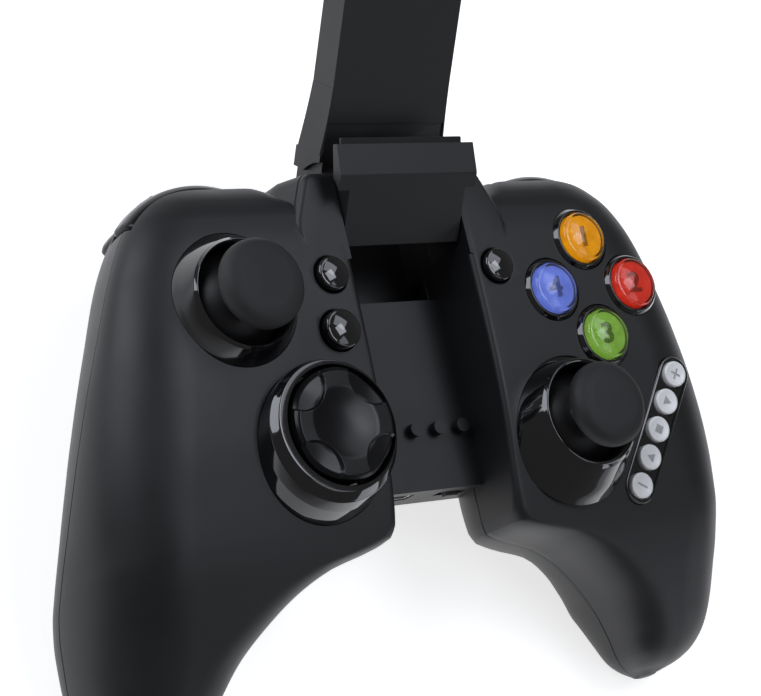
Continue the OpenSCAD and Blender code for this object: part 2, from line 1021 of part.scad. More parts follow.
module holder_screw_places() {
  for (s = [-1, 1])
    translate([s * 8, -12, -8.8])
      children();
}

module lip_pad() {
  color(rubber)
    holder_frame()
      holder_bar(29, [[jaw_floor, 7.93], [1.6, 5.62], [1.4, 4.8], [jaw_floor, 7]]);
}

module holder_rail() {
  color(dark_grey)
    holder_frame()
      difference() {
        union() {
          translate([-rail_w / 2, -7.5, -rail_t])
            cube([rail_w, rail_l + 7.5, rail_t]);
          translate([-11.4, -16.2, -rail_t])
            cube([22.8, 10, rail_t]);
        }
        translate([-12.2, -6.5, -5.6])
          cube([24.4, rail_l + 20, 4]);
        // step behind the lip; the phone's back lies on the land above it
        translate([-rail_w, jaw_floor, -0.3])
          cube([2 * rail_w, 3 - jaw_floor, 1]);
        holder_screw_places()
          cylinder(r = 1, h = 5);
      }
}

module slider() {
  color(dark_grey)
    holder_frame()
      difference() {
        union() {
          translate([-11.85, -6, -5.25])
            cube([23.7, jaw - 1, 3.3]);
          // upper jaw, out of the photograph
          holder_bar(29, [[jaw - 7, -rail_t], [jaw + 0.6, -rail_t], [jaw + 1.6, -4], [jaw + 1.6, 4], [jaw, 8.4],
            [jaw - 4, 9.6], [jaw - 11.4, 7.2], [jaw - 11.2, 6], [jaw - 7, 7.6]]);
        }
        // groove of the pull-back spring
        translate([-2.4, -8, -6])
          cube([4.8, 39, 5]);
      }
}

module hook_pad() {
  color(rubber)
    holder_frame()
      holder_bar(26, [[jaw - 7, 7.4], [jaw - 7, -1], [jaw - 8, -1], [jaw - 8, 7]]);
}

module slider_spring() {
  color(steel)
    holder_frame()
      translate([0, -5.4, -3.6])
        rotate([-90, 0, 0])
          coil(1.2, 0.4, 3, 12, 8);
}

module hinge_pin() {
  color(steel)
    on_face()
      hinge_bore(pin_r);
}

module holder_screws() {
  color(steel)
    holder_frame()
      holder_screw_places()
        difference() {
          union() {
            cylinder(r = 1, h = 4.4);
            translate([0, 0, -1])
              cylinder(r = 2, h = 1);
          }
          translate([-1.4, -0.25, -1.5])
            cube([2.8, 0.5, 1]);
          translate([-0.25, -1.4, -1.5])
            cube([0.5, 2.8, 1]);
        }
}

front_shell();
rear_shell();
left_stick_bezel();
right_stick_bezel();
left_stick_module();
right_stick_module();
left_stick_yoke();
right_stick_yoke();
left_stick_stem();
right_stick_stem();
left_stick_cap();
right_stick_cap();
dpad_bezel();
dpad_pivot();
dpad_membrane();
dpad();
face_button_collars();
right_face_button();
upper_face_button();
left_face_button();
lower_face_button();
face_membrane();
left_upper_key();
left_lower_key();
right_key();
media_strip();
media_button_1();
media_button_2();
media_button_3();
media_button_4();
media_button_5();
light_pipes();
left_board();
right_board();
main_board();
battery();
usb_socket();
switch_knob();
case_screws();
left_bumper();
right_bumper();
left_trigger();
right_trigger();
left_trigger_pin();
right_trigger_pin();
left_trigger_spring();
right_trigger_spring();
holder_base();
lip_pad();
holder_rail();
slider();
hook_pad();
slider_spring();
hinge_pin();
holder_screws();
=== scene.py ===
"""A two-grip game controller with a tilting phone holder, dressed for a studio picture.

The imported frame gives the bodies, joints and nodes in metres. Lengths in this file are
millimetres from the control face: +X right, +Y towards the shoulders, +Z out of the face.
"""

from __future__ import annotations

import json
import logging
import math
from dataclasses import astuple, dataclass, field
from enum import Enum
from typing import Callable, Sequence

import bmesh
import bpy
import numpy as np
from mathutils import Matrix, Vector

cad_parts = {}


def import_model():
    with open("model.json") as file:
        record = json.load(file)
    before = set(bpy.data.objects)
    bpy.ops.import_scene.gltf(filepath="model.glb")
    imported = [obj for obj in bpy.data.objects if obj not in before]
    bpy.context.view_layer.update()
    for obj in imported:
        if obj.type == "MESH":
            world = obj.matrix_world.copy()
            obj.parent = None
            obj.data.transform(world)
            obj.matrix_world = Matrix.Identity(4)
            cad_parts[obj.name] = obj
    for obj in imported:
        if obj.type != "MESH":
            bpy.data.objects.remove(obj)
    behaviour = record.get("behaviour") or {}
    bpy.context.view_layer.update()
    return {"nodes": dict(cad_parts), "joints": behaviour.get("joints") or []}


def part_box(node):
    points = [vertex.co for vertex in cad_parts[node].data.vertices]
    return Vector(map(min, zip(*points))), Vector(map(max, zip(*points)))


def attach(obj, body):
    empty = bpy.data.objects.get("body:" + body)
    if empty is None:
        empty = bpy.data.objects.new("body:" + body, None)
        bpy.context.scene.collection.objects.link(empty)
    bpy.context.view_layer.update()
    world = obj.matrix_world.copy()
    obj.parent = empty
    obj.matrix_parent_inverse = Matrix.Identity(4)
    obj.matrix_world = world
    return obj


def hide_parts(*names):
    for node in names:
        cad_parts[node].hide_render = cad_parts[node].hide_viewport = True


LOG = logging.getLogger("controller")
MM = 0.001
FACE_H = 40.0
FULLNESS = 0.8
CORNER_SHARE = 0.48
SAME_POINT = 2e-7
ROD_SIDES = 48
ON_FACE = np.array([1.0, 1.0, 0.0])
Colour = tuple[float, float, float]
Pair = tuple[float, float]
Triple = tuple[float, float, float]
Piece = bpy.types.Object
Outline = Callable[[np.ndarray, float, float], np.ndarray]


class Cut(Enum):
    """How a tool solid acts on a piece."""

    AWAY = "DIFFERENCE"
    ADD = "UNION"


class Side(Enum):
    """The player's two hands, with the sign of x on each."""

    LEFT = -1
    RIGHT = 1

    @property
    def word(self) -> str:
        """The side's name as the nodes spell it."""
        return self.name.lower()


def to_frame(points: np.ndarray) -> np.ndarray:
    """Face millimetres to frame metres."""
    return (np.asarray(points, float) + np.array([0.0, 0.0, FACE_H])) * MM


def from_frame(point: Vector | Sequence[float]) -> np.ndarray:
    """Frame metres to face millimetres."""
    return np.array(point, float) / MM - np.array([0.0, 0.0, FACE_H])


def centre_of(node: str) -> np.ndarray:
    """Middle of a node's box, in face millimetres."""
    low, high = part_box(node)
    return from_frame((low + high) / 2)


def joint_place(joints: Sequence[dict], name: str) -> np.ndarray:
    """Place of a joint, carried to the control face, in face millimetres."""
    found = next(j for j in joints if j["name"] == name)
    return from_frame(found["pos_m"]) * ON_FACE


def unit(v: np.ndarray) -> np.ndarray:
    """Vectors scaled to length one along their last axis."""
    return v / np.linalg.norm(v, axis=-1, keepdims=True)


def bow(cx: float, cz: float, rx: float, rz: float, start: float, end: float, steps: int) -> np.ndarray:
    """Points of an elliptic arc between two angles in degrees."""
    a = np.radians(np.linspace(start, end, steps + 1))
    return np.column_stack([cx + rx * np.cos(a), cz + rz * np.sin(a)])


def swell(cx: float, cz: float, rx: float, rz: float, steps: int) -> np.ndarray:
    """Points of a quarter bow, fuller than a round one, from its side up to its top."""
    a = np.radians(np.linspace(0, 90, steps + 1))
    return np.column_stack([cx - rx * np.cos(a) ** FULLNESS, cz + rz * np.sin(a) ** FULLNESS])


def run(a: Pair, b: Pair, steps: int) -> np.ndarray:
    """Points of a straight stretch, both ends included."""
    return np.linspace(a, b, steps + 1)


def rounded(corners: Sequence[Pair], radius: float, steps: int = 6) -> np.ndarray:
    """Closed outline with every corner eased into a curve.

    Args:
        corners: The sharp outline.
        radius: Length that each corner gives up on both of its sides, at most.
        steps: Points on each curve.

    Returns:
        The eased outline, in the same turning direction.
    """
    c = np.asarray(corners, float)
    t = np.linspace(0, 1, steps + 1)[:, None]
    curves = []
    for k, p in enumerate(c):
        before, after = c[k - 1] - p, c[(k + 1) % len(c)] - p
        give = min(radius, CORNER_SHARE * np.linalg.norm(before), CORNER_SHARE * np.linalg.norm(after))
        a, b = p + unit(before) * give, p + unit(after) * give
        curves.append((1 - t) ** 2 * a + 2 * t * (1 - t) * p + t**2 * b)
    return np.vstack(curves)


def inset(outline: np.ndarray, distance: float) -> np.ndarray:
    """Closed outline, turning left, moved inwards by a distance.

    Args:
        outline: Points in turning order.
        distance: The way inwards.

    Returns:
        The moved outline, point for point.
    """
    before = unit(outline - np.roll(outline, 1, 0))
    after = unit(np.roll(outline, -1, 0) - outline)
    across = unit(before + after)
    inward = np.column_stack([-across[:, 1], across[:, 0]])
    stretch = 1 / np.maximum(0.5, np.sum(before * across, axis=1))
    return outline + inward * (distance * stretch)[:, None]


def glide(x: np.ndarray, y: np.ndarray, at: np.ndarray) -> np.ndarray:
    """Smooth curve through stations that never swings past them.

    Args:
        x: Rising places of the stations.
        y: Values at the stations, one row each.
        at: Places to read.

    Returns:
        One row of values for each place.
    """
    h = np.diff(x)[:, None]
    rise = np.diff(y, axis=0) / h
    slope = np.zeros_like(y)
    slope[0], slope[-1] = rise[0], rise[-1]
    near, far = 2 * h[1:] + h[:-1], h[1:] + 2 * h[:-1]
    same = rise[:-1] * rise[1:] > 0
    safe_a, safe_b = np.where(same, rise[:-1], 1.0), np.where(same, rise[1:], 1.0)
    slope[1:-1] = np.where(same, (near + far) / (near / safe_a + far / safe_b), 0.0)
    i = np.clip(np.searchsorted(x, at) - 1, 0, len(x) - 2)
    w, t = h[i], ((at - x[i]) / h[i, 0])[:, None]
    return (
        y[i] * (1 + 2 * t) * (1 - t) ** 2
        + y[i + 1] * t**2 * (3 - 2 * t)
        + w * slope[i] * t * (1 - t) ** 2
        - w * slope[i + 1] * t**2 * (1 - t)
    )


def piece(name: str, points: np.ndarray, faces: list[list[int]]) -> Piece:
    """New mesh object from face millimetres, with doubles merged and faces turned outwards.

    Args:
        name: Name of the piece.
        points: Corners, one row each.
        faces: Corner numbers of every face.

    Returns:
        The new mesh object.
    """
    mesh = bpy.data.meshes.new(name)
    mesh.from_pydata(to_frame(points).tolist(), [], faces)
    work = bmesh.new()
    work.from_mesh(mesh)
    bmesh.ops.remove_doubles(work, verts=work.verts, dist=SAME_POINT)
    bmesh.ops.dissolve_degenerate(work, edges=work.edges, dist=1e-8)
    bmesh.ops.recalc_face_normals(work, faces=work.faces)
    work.to_mesh(mesh)
    work.free()
    made = bpy.data.objects.new(name, mesh)
    bpy.context.scene.collection.objects.link(made)
    return made


def loft(name: str, rows: np.ndarray, ring: bool = False) -> Piece:
    """Closed solid through rows of closed sections.

    Args:
        name: Name of the piece.
        rows: Points as sections by points by three.
        ring: True where the last section joins the first.

    Returns:
        The new mesh object.
    """
    n, m = rows.shape[:2]
    i = np.arange(n if ring else n - 1)[:, None]
    j = np.arange(m)[None, :]
    a, b = (i % n) * m, ((i + 1) % n) * m
    k = (j + 1) % m
    quads = np.stack([a + j, a + k, b + k, b + j], axis=-1).reshape(-1, 4).tolist()
    if not ring:
        quads += [list(range(m))[::-1], list(range((n - 1) * m, n * m))]
    return piece(name, rows.reshape(-1, 3), quads)


def turned(
    name: str,
    profile: np.ndarray,
    centre: Sequence[float],
    lean: Pair = (0.0, 0.0),
    about: float = 0.0,
    steps: int = 144,
) -> Piece:
    """Solid of revolution of a closed profile of radius and height, which may lean.

    Args:
        name: Name of the piece.
        profile: Points of radius and height.
        centre: Place of the axis, and the height of zero.
        lean: Step aside in x and y for each millimetre of height.
        about: Height at which the lean is nothing.
        steps: Sections around the axis.

    Returns:
        The new solid.
    """
    p = np.asarray(profile, float)
    a = np.linspace(0, 2 * math.pi, steps, endpoint=False)[:, None]
    rows = np.empty((steps, len(p), 3))
    rows[..., 0] = centre[0] + (p[:, 1] - about) * lean[0] + p[:, 0] * np.cos(a)
    rows[..., 1] = centre[1] + (p[:, 1] - about) * lean[1] + p[:, 0] * np.sin(a)
    rows[..., 2] = centre[2] + p[:, 1]
    return loft(name, rows, ring=True)


def drum(
    name: str, centre: Sequence[float], radius: float, low: float, high: float, steps: int = 96
) -> Piece:
    """Plain round tool between two heights."""
    profile = np.array([[0, low], [radius, low], [radius, high], [0, high]])
    return turned(name, profile, (centre[0], centre[1], 0.0), steps=steps)


def rod(name: str, at: Pair, radius: float, span: Pair) -> Piece:
    """Round solid along x between two places, about a point of y and z."""
    ring = bow(at[0], at[1], radius, radius, 0, 360 - 360 / ROD_SIDES, ROD_SIDES - 1)
    return loft(name, np.array([np.column_stack([np.full(len(ring), x), ring]) for x in span]))


def box_tool(name: str, low: Sequence[float], high: Sequence[float]) -> Piece:
    """Plain box tool between two corners.

    Args:
        name: Name of the piece.
        low: Lowest corner.
        high: Highest corner.

    Returns:
        The new solid.
    """
    x0, y0, z0 = low
    x1, y1, z1 = high
    ring = np.array([[x0, y0], [x1, y0], [x1, y1], [x0, y1]])
    rows = np.array([np.column_stack([ring, np.full(4, z)]) for z in (z0, z1)])
    return loft(name, rows)


def slab(name: str, outline: np.ndarray, low: float, high: float, fillet: float, steps: int = 5) -> Piece:
    """Upright solid on an outline, with its top edge rounded.

    Args:
        name: Name of the piece.
        outline: Closed outline, turning left.
        low: Height of the foot.
        high: Height of the top.
        fillet: Radius of the top edge.
        steps: Rows on that edge.

    Returns:
        The new solid.
    """
    levels = [(low, 0.0), (high - fillet, 0.0)]
    for a in np.radians(np.linspace(90 / steps, 90, steps)):
        levels.append((high - fillet + fillet * math.sin(a), fillet * (1 - math.cos(a))))
    rows = [np.column_stack([inset(outline, d), np.full(len(outline), z)]) for z, d in levels]
    return loft(name, np.array(rows))


def combine(target: Piece, tools: Sequence[Piece], how: Cut) -> Piece:
    """Adds solids to a piece, or cuts them away, and removes the tools.

    Args:
        target: The piece to change.
        tools: The solids, in order.
        how: Add or cut away.

    Returns:
        The changed piece.
    """
    for tool in tools:
        step = target.modifiers.new(tool.name, "BOOLEAN")
        step.operation = how.value
        step.solver = "EXACT"
        step.object = tool
    graph = bpy.context.evaluated_depsgraph_get()
    done = bpy.data.meshes.new_from_object(target.evaluated_get(graph))
    target.modifiers.clear()
    old, target.data = target.data, done
    bpy.data.meshes.remove(old)
    for tool in tools:
        bpy.data.objects.remove(tool)
    return target


def mirrored(source: Piece, name: str) -> Piece:
    """Copy of a piece on the other side of the middle plane.

    Args:
        source: The piece to copy.
        name: Name of the copy.

    Returns:
        The copy.
    """
    made = bpy.data.objects.new(name, source.data.copy())
    made.data.transform(Matrix.Scale(-1, 4, (1, 0, 0)))
    made.data.flip_normals()
    bpy.context.scene.collection.objects.link(made)
    return made


def soften(made: Piece, angle: float = 35.0) -> Piece:
    """Smooth shading that keeps edges over an angle sharp.

    Args:
        made: The piece to shade.
        angle: The angle in degrees.

    Returns:
        The same piece.
    """
    made.data.shade_smooth()
    made.data.set_sharp_from_angle(angle=math.radians(angle))
    return made


class Wire:
    """A shader output that takes part in Python arithmetic."""

    def __init__(self, graph: "Graph", socket: bpy.types.NodeSocket) -> None:
        """Wraps a socket of a graph."""
        self.graph = graph
        self.socket = socket

    def _math(self, operation: str, left: "Wire | float", right: "Wire | float") -> "Wire":
        """Adds one Math node on two values."""
        return self.graph.node("ShaderNodeMath", {"operation": operation}, {0: left, 1: right})

    def __add__(self, other: "Wire | float") -> "Wire":
        """Sum."""
        return self._math("ADD", self, other)

    __radd__ = __add__

    def __sub__(self, other: "Wire | float") -> "Wire":
        """Difference."""
        return self._math("SUBTRACT", self, other)

    def __rsub__(self, other: "Wire | float") -> "Wire":
        """Difference from a number."""
        return self._math("SUBTRACT", other, self)

    def __mul__(self, other: "Wire | float") -> "Wire":
        """Product."""
        return self._math("MULTIPLY", self, other)

    __rmul__ = __mul__


class Graph:
    """The node tree of one material."""

    def __init__(self, name: str) -> None:
        """Starts an empty material.

        Args:
            name: Name of the material.
        """
        self.material = bpy.data.materials.new(name)
        self.material.use_nodes = True
        self.tree = self.material.node_tree
        self.tree.nodes.clear()

    def node(
        self,
        kind: str,
        settings: dict[str, object] | None = None,
        sockets: dict[int | str, object] | None = None,
        out: int | str = 0,
    ) -> Wire | None:
        """Adds a node.

        Args:
            kind: Blender's name of the node's type.
            settings: The node's own settings, which are set first.
            sockets: Values, or wires to link, by socket name or number.
            out: The output that the wire stands for.

        Returns:
            A wire from that output, or None for a node that has no output.
        """
        made = self.tree.nodes.new(kind)
        for key, value in (settings or {}).items():
            setattr(made, key, value)
        for key, value in (sockets or {}).items():
            if isinstance(value, Wire):
                self.tree.links.new(value.socket, made.inputs[key])
            else:
                made.inputs[key].default_value = value
        return Wire(self, made.outputs[out]) if made.outputs else None

    def place(self, stretch: Triple = (1.0, 1.0, 1.0)) -> Wire:
        """Coordinates of the object in metres, stretched along the axes."""
        spot = self.node("ShaderNodeTexCoord", out="Object")
        return self.node("ShaderNodeMapping", {}, {"Vector": spot, "Scale": stretch})

    def noise(self, size: float, stretch: Triple = (1.0, 1.0, 1.0), detail: float = 3.0) -> Wire:
        """Cloudy noise whose features measure about a size in millimetres."""
        sockets = {"Vector": self.place(stretch), "Scale": 1 / (size * MM), "Detail": detail}
        return self.node("ShaderNodeTexNoise", {}, sockets)

    def limits(self, value: Wire, low: float, high: float) -> Wire:
        """Stretches a value so that low becomes 0 and high becomes 1, and holds it there."""
        return self.node("ShaderNodeMapRange", {"clamp": True}, {0: value, 1: low, 2: high, 3: 0.0, 4: 1.0})

    def blend(self, share: Wire | float, a: Colour | Wire, b: Colour | Wire) -> Wire:
        """Mixes two colours."""
        full = [c if isinstance(c, Wire) else (*c, 1.0) for c in (a, b)]
        return self.node("ShaderNodeMix", {"data_type": "RGBA"}, {0: share, 6: full[0], 7: full[1]}, out=2)

    def bump(self, height: Wire, depth: float) -> Wire:
        """Normal from a height that spans a depth in millimetres."""
        return self.node("ShaderNodeBump", {}, {"Strength": 1.0, "Distance": depth * MM, "Height": height})

    def close(self, sockets: dict[int | str, object]) -> bpy.types.Material:
        """Ends the tree in one principled surface.

        Args:
            sockets: The surface's values and wires, by socket name.

        Returns:
            The finished material.
        """
        surface = self.node("ShaderNodeBsdfPrincipled", {}, sockets)
        self.node("ShaderNodeOutputMaterial", {}, {"Surface": surface})
        return self.material


@dataclass(frozen=True)
class Moulded:
    """Moulded plastic or rubber: a grained skin with faint clouds and rubbed patches."""

    name: str
    slot: str
    colour: Colour
    rubbed: Colour
    roughness: float
    rough_play: float = 0.06
    grain: float = 0.3
    depth: float = 0.006
    specular: float = 0.5

    def material(self) -> bpy.types.Material:
        """Builds the surface.

        Returns:
            The finished material.
        """
        g = Graph(self.name)
        clouds = g.limits(g.noise(14.0), 0.35, 0.7)
        rubs = g.limits(g.noise(3.0, (1.0, 0.35, 1.0)), 0.52, 0.75)
        skin = g.noise(self.grain, detail=2.0)
        share = clouds * 0.55 + rubs * 0.35
        rough = self.roughness + (clouds - 0.5) * self.rough_play + (skin - 0.5) * self.rough_play
        return g.close(
            {
                "Base Color": g.blend(share, self.colour, self.rubbed),
                "Roughness": rough,
                "Normal": g.bump(skin, self.depth),
                "Specular IOR Level": self.specular,
            }
        )


@dataclass(frozen=True)
class Polished:
    """Polished black plastic with a clear top, hairlines and a little dust."""

    name: str
    slot: str
    colour: Colour = (0.006, 0.006, 0.007)
    roughness: float = 0.07

    def material(self) -> bpy.types.Material:
        """Builds the surface.

        Returns:
            The finished material.
        """
        g = Graph(self.name)
        hair = g.limits(g.noise(0.5, (0.05, 1.0, 0.6), 4.0), 0.6, 0.78)
        haze = g.limits(g.noise(6.0), 0.45, 0.8)
        dust = g.limits(g.noise(0.22, detail=1.0), 0.72, 0.8)
        wave = g.noise(9.0, detail=1.0)
        return g.close(
            {
                "Base Color": g.blend(dust * 0.5, self.colour, (0.05, 0.05, 0.052)),
                "Roughness": self.roughness + hair * 0.05 + haze * 0.03 + dust * 0.2,
                "Normal": g.bump(wave, 0.015),
                "Coat Weight": 1.0 - dust * 0.5,
                "Coat Roughness": 0.03,
            }
        )


@dataclass(frozen=True)
class Tinted:
    """Clear tinted plastic of a button's dome."""

    name: str
    slot: str
    colour: Colour

    def material(self) -> bpy.types.Material:
        """Builds the surface.

        Returns:
            The finished material.
        """
        g = Graph(self.name)
        flow = g.noise(4.0, detail=1.0)
        hair = g.limits(g.noise(0.4, (0.06, 1.0, 1.0)), 0.6, 0.8)
        deep = tuple(0.55 * c for c in self.colour)
        return g.close(
            {
                "Base Color": g.blend(g.limits(flow, 0.3, 0.75) * 0.4, self.colour, deep),
                "Roughness": 0.12 + hair * 0.06,
                "Normal": g.bump(flow, 0.01),
                "Transmission Weight": 0.92,
                "IOR": 1.46,
                "Coat Weight": 0.2,
            }
        )


@dataclass(frozen=True)
class Glowing:
    """Moulding with a painted glow: emission that stands in for light scattered back up, used for a button's
    core, its numeral and the light guides.
    """

    name: str
    slot: str
    colour: Colour
    glow: float

    def material(self) -> bpy.types.Material:
        """Builds the surface.

        Returns:
            The finished material.
        """
        g = Graph(self.name)
        clouds = g.limits(g.noise(2.0), 0.3, 0.75)
        pale = tuple(min(1.0, 1.25 * c + 0.05) for c in self.colour)
        tint = g.blend(clouds, self.colour, pale)
        return g.close(
            {
                "Base Color": tint,
                "Roughness": 0.4 + clouds * 0.1,
                # painted glow: the surface emits its own tint though it is no lamp
                "Emission Color": tint,
                "Emission Strength": self.glow,
                "Normal": g.bump(clouds, 0.02),
            }
        )


@dataclass(frozen=True)
class Pearl:
    """Silver lacquer with fine flakes."""

    name: str
    slot: str
    colour: Colour

    def material(self) -> bpy.types.Material:
        """Builds the surface.

        Returns:
            The finished material.
        """
        g = Graph(self.name)
        spot = g.place()
        flake = g.node("ShaderNodeTexVoronoi", {}, {"Vector": spot, "Scale": 1 / (0.16 * MM)}, out="Distance")
        shine = g.limits(flake, 0.2, 0.6)
        worn = g.limits(g.noise(1.6), 0.5, 0.8)
        light = tuple(min(1.0, 1.2 * c) for c in self.colour)
        return g.close(
            {
                "Base Color": g.blend(shine * 0.6 + worn * 0.25, self.colour, light),
                "Metallic": 0.08 + shine * 0.1,
                "Roughness": 0.34 + shine * 0.12 - worn * 0.08,
                "Normal": g.bump(flake, 0.012),
                "Coat Weight": 0.3,
            }
        )


@dataclass(frozen=True)
class BareMetal:
    """Plated steel with turning marks and a little tarnish."""

    name: str
    slot: str
    colour: Colour = (0.56, 0.56, 0.58)

    def material(self) -> bpy.types.Material:
        """Builds the surface.

        Returns:
            The finished material.
        """
        g = Graph(self.name)
        marks = g.noise(0.3, (0.1, 1.0, 1.0), 4.0)
        tarnish = g.limits(g.noise(3.0), 0.5, 0.8)
        return g.close(
            {
                "Base Color": g.blend(tarnish * 0.6, self.colour, (0.3, 0.28, 0.26)),
                "Metallic": 1.0,
                "Roughness": 0.24 + marks * 0.15 + tarnish * 0.15,
                "Normal": g.bump(marks, 0.008),
            }
        )


@dataclass(frozen=True)
class BoardMask:
    """Solder mask over copper tracks."""

    name: str
    slot: str
    colour: Colour = (0.012, 0.10, 0.045)

    def material(self) -> bpy.types.Material:
        """Builds the surface.

        Returns:
            The finished material.
        """
        g = Graph(self.name)
        grid = g.node(
            "ShaderNodeTexBrick",
            {"offset": 0.37, "squash": 1.7},
            {"Vector": g.place(), "Scale": 1 / (4.0 * MM), "Mortar Size": 0.06},
            out="Fac",
        )
        clouds = g.noise(5.0)
        return g.close(
            {
                "Base Color": g.blend(grid * 0.8, self.colour, (0.03, 0.2, 0.08)),
                "Roughness": 0.32 + clouds * 0.15,
                "Normal": g.bump(grid, 0.03),
                "Coat Weight": 0.3,
            }
        )


Finish = Moulded | Polished | Tinted | Glowing | Pearl | BareMetal | BoardMask


@dataclass(frozen=True)
class Palette:
    """Every finish of the controller."""

    body: Moulded = Moulded(
        "soft_touch_black", "soft_black", (0.0085, 0.0088, 0.0100), (0.011, 0.0113, 0.0126),
        roughness=0.46, rough_play=0.07, grain=0.28, depth=0.005,
    )
    holder: Moulded = Moulded(
        "satin_holder_black", "holder_grey", (0.0095, 0.0096, 0.0104), (0.0135, 0.0135, 0.0145),
        roughness=0.5, rough_play=0.08, grain=0.22, depth=0.007,
    )
    cap: Moulded = Moulded(
        "stick_rubber", "rubber_black", (0.014, 0.014, 0.0152), (0.021, 0.021, 0.0222),
        roughness=0.66, rough_play=0.1, grain=0.2, depth=0.012,
    )
    pad: Moulded = Moulded(
        "grip_pad_rubber", "rubber_black", (0.01, 0.01, 0.011), (0.018, 0.018, 0.019),
        roughness=0.75, rough_play=0.1, grain=0.3, depth=0.03,
    )
    gloss: Polished = Polished("piano_black", "gloss_black")
    satin: Moulded = Moulded(
        "satin_black", "gloss_black", (0.005, 0.005, 0.0058), (0.007, 0.007, 0.008),
        roughness=0.24, rough_play=0.05, grain=0.2, depth=0.001, specular=0.28,
    )
    stem: Moulded = Moulded(
        "stem_black", "stem_black", (0.005, 0.005, 0.006), (0.007, 0.007, 0.008),
        roughness=0.4, rough_play=0.05, grain=0.2, depth=0.002,
    )
    silver: Pearl = Pearl("pearl_silver", "media_silver", (0.86, 0.865, 0.88))
    ink: Moulded = Moulded(
        "mark_ink", "gloss_black", (0.4, 0.405, 0.415), (0.5, 0.5, 0.51),
        roughness=0.45, rough_play=0.1, grain=0.1, depth=0.002,
    )
    steel: BareMetal = BareMetal("plated_steel", "steel")
    foil: BareMetal = BareMetal("cell_foil", "cell_silver", (0.66, 0.66, 0.67))
    board: BoardMask = BoardMask("solder_mask", "board_green")
    silicone: Moulded = Moulded(
        "dome_silicone", "silicone", (0.18, 0.18, 0.19), (0.24, 0.24, 0.25),
        roughness=0.6, rough_play=0.1, grain=0.4, depth=0.01,
    )
    inner: Moulded = Moulded(
        "plain_moulding", "inner_plastic", (0.06, 0.06, 0.064), (0.1, 0.1, 0.105),
        roughness=0.5, rough_play=0.1, grain=0.3, depth=0.006,
    )
    # light guides: pale grey with a faint painted glow
    guide: Glowing = Glowing("light_guide", "light_clear", (0.55, 0.57, 0.6), 0.06)


class Wardrobe:
    """Makes each finish once and puts it on pieces."""

    def __init__(self) -> None:
        """Starts with no material made."""
        self.made: dict[str, bpy.types.Material] = {}

    def material(self, finish: Finish) -> bpy.types.Material:
        """The finish's material, built at its first use.

        Args:
            finish: One of the finishes.

        Returns:
            Its material.
        """
        if finish.name not in self.made:
            self.made[finish.name] = finish.material()
        return self.made[finish.name]

    def dress(self, made: Piece, finish: Finish, body: str, nodes: Sequence[str] = ()) -> Piece:
        """Gives a new piece its finish, its body and the nodes that it stands for.

        Args:
            made: The piece, in place in the frame.
            finish: One of the finishes.
            body: The body that it rides on.
            nodes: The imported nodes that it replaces.

        Returns:
            The same piece.
        """
        made.data.materials.clear()
        made.data.materials.append(self.material(finish))
        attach(made, body)
        if nodes:
            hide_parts(*nodes)
        LOG.info("%s rides on %s", made.name, body)
        return made

    def refinish(self, node: Piece, finish: Finish, bevel: float = 0.0) -> None:
        """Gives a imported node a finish, and eased edges of a width in millimetres.

        Args:
            node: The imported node's object.
            finish: One of the finishes.
            bevel: Width of the edges, or 0 for none.
        """
        for slot in node.material_slots:
            slot.material = self.material(finish)
        weld = node.modifiers.new("weld", "WELD")
        weld.merge_threshold = 1e-6
        if bevel:
            ease = node.modifiers.new("ease", "BEVEL")
            ease.width = bevel * MM
            ease.segments = 3
            ease.limit_method = "ANGLE"
            ease.angle_limit = math.radians(40)
            ease.harden_normals = True
        LOG.info("%s keeps its solid", node.name)


@dataclass(frozen=True)
class Station:
    """One cross-section of a wing."""

    y: float
    inner: float
    outer: float
    top: float
    outer_seam: float
    inner_seam: float
    bottom: float
    edge_across: float
    edge_down: float
    top_round: float
    bottom_round: float
    inner_round: float


# from the shoulders down to the grip's tip
WING = (
    Station(30.4, 33, 48, -9.5, -11, -11, -23, 4, 1.4, 6, 6, 6),
    Station(28.9, 28.5, 51, -6, -9.5, -12, -25, 4, 3, 9, 9, 9),
    Station(25.6, 24, 55, -2.8, -8.4, -14, -26.5, 5, 4, 12, 11, 12),
    Station(21.2, 18, 58.8, -0.9, -7.8, -17, -27.6, 3, 3, 14, 12, 14),
    Station(14, 14.4, 62.8, 0, -8.2, -17, -28.6, 1.6, 1.6, 15, 13, 16),
    Station(2, 14.4, 67.3, 0, -10, -17, -29.4, 1.6, 1.6, 16, 14, 16),
    Station(-10, 14.4, 71.1, -0.3, -12.8, -17, -30.4, 1.6, 1.6, 17, 14, 16),
    Station(-20, 14.4, 73.7, -1, -15.6, -17, -31.8, 1.6, 1.6, 18, 14, 16),
    Station(-32, 14.4, 76, -2.7, -20, -17, -34.4, 1.6, 1.6, 18, 13.5, 18),
    Station(-40, 14.4, 77, -4.2, -24, -17, -36.8, 2.6, 2.6, 18, 12.5, 26),
    Station(-42.4, 15, 77.3, -5, -25, -17.2, -37.4, 4, 4, 18, 12, 34),
    Station(-43.8, 18, 77.4, -5.5, -25.8, -17.8, -37.8, 5.5, 5, 18, 11.5, 38),
    Station(-46.2, 27, 77.5, -6.5, -27, -19.8, -38.4, 7, 6.5, 18, 11, 36),
    Station(-49.6, 34, 77.5, -8.2, -28.2, -22, -39.2, 8, 8, 18, 10.5, 24),
    Station(-54, 40, 77.2, -10.6, -29.4, -24.6, -39.8, 8.5, 8.5, 18, 9.5, 13),
    Station(-60, 46, 76.6, -14.2, -31, -27.6, -40, 9, 9, 17, 9, 5.5),
    Station(-66, 49.8, 74.8, -18.2, -32.4, -29.8, -39.8, 9, 8, 14, 8.5, 5),
    Station(-70.5, 52.2, 71.4, -22, -33.2, -31.4, -39, 7, 6, 11, 7.5, 5),
    Station(-73, 55, 66.8, -25.6, -33.6, -32.8, -37.8, 4, 4.5, 6.5, 6, 4.5),
    Station(-74.4, 58, 62, -30, -33.8, -33.6, -36.4, 1.8, 2, 2, 2, 1.9),
)


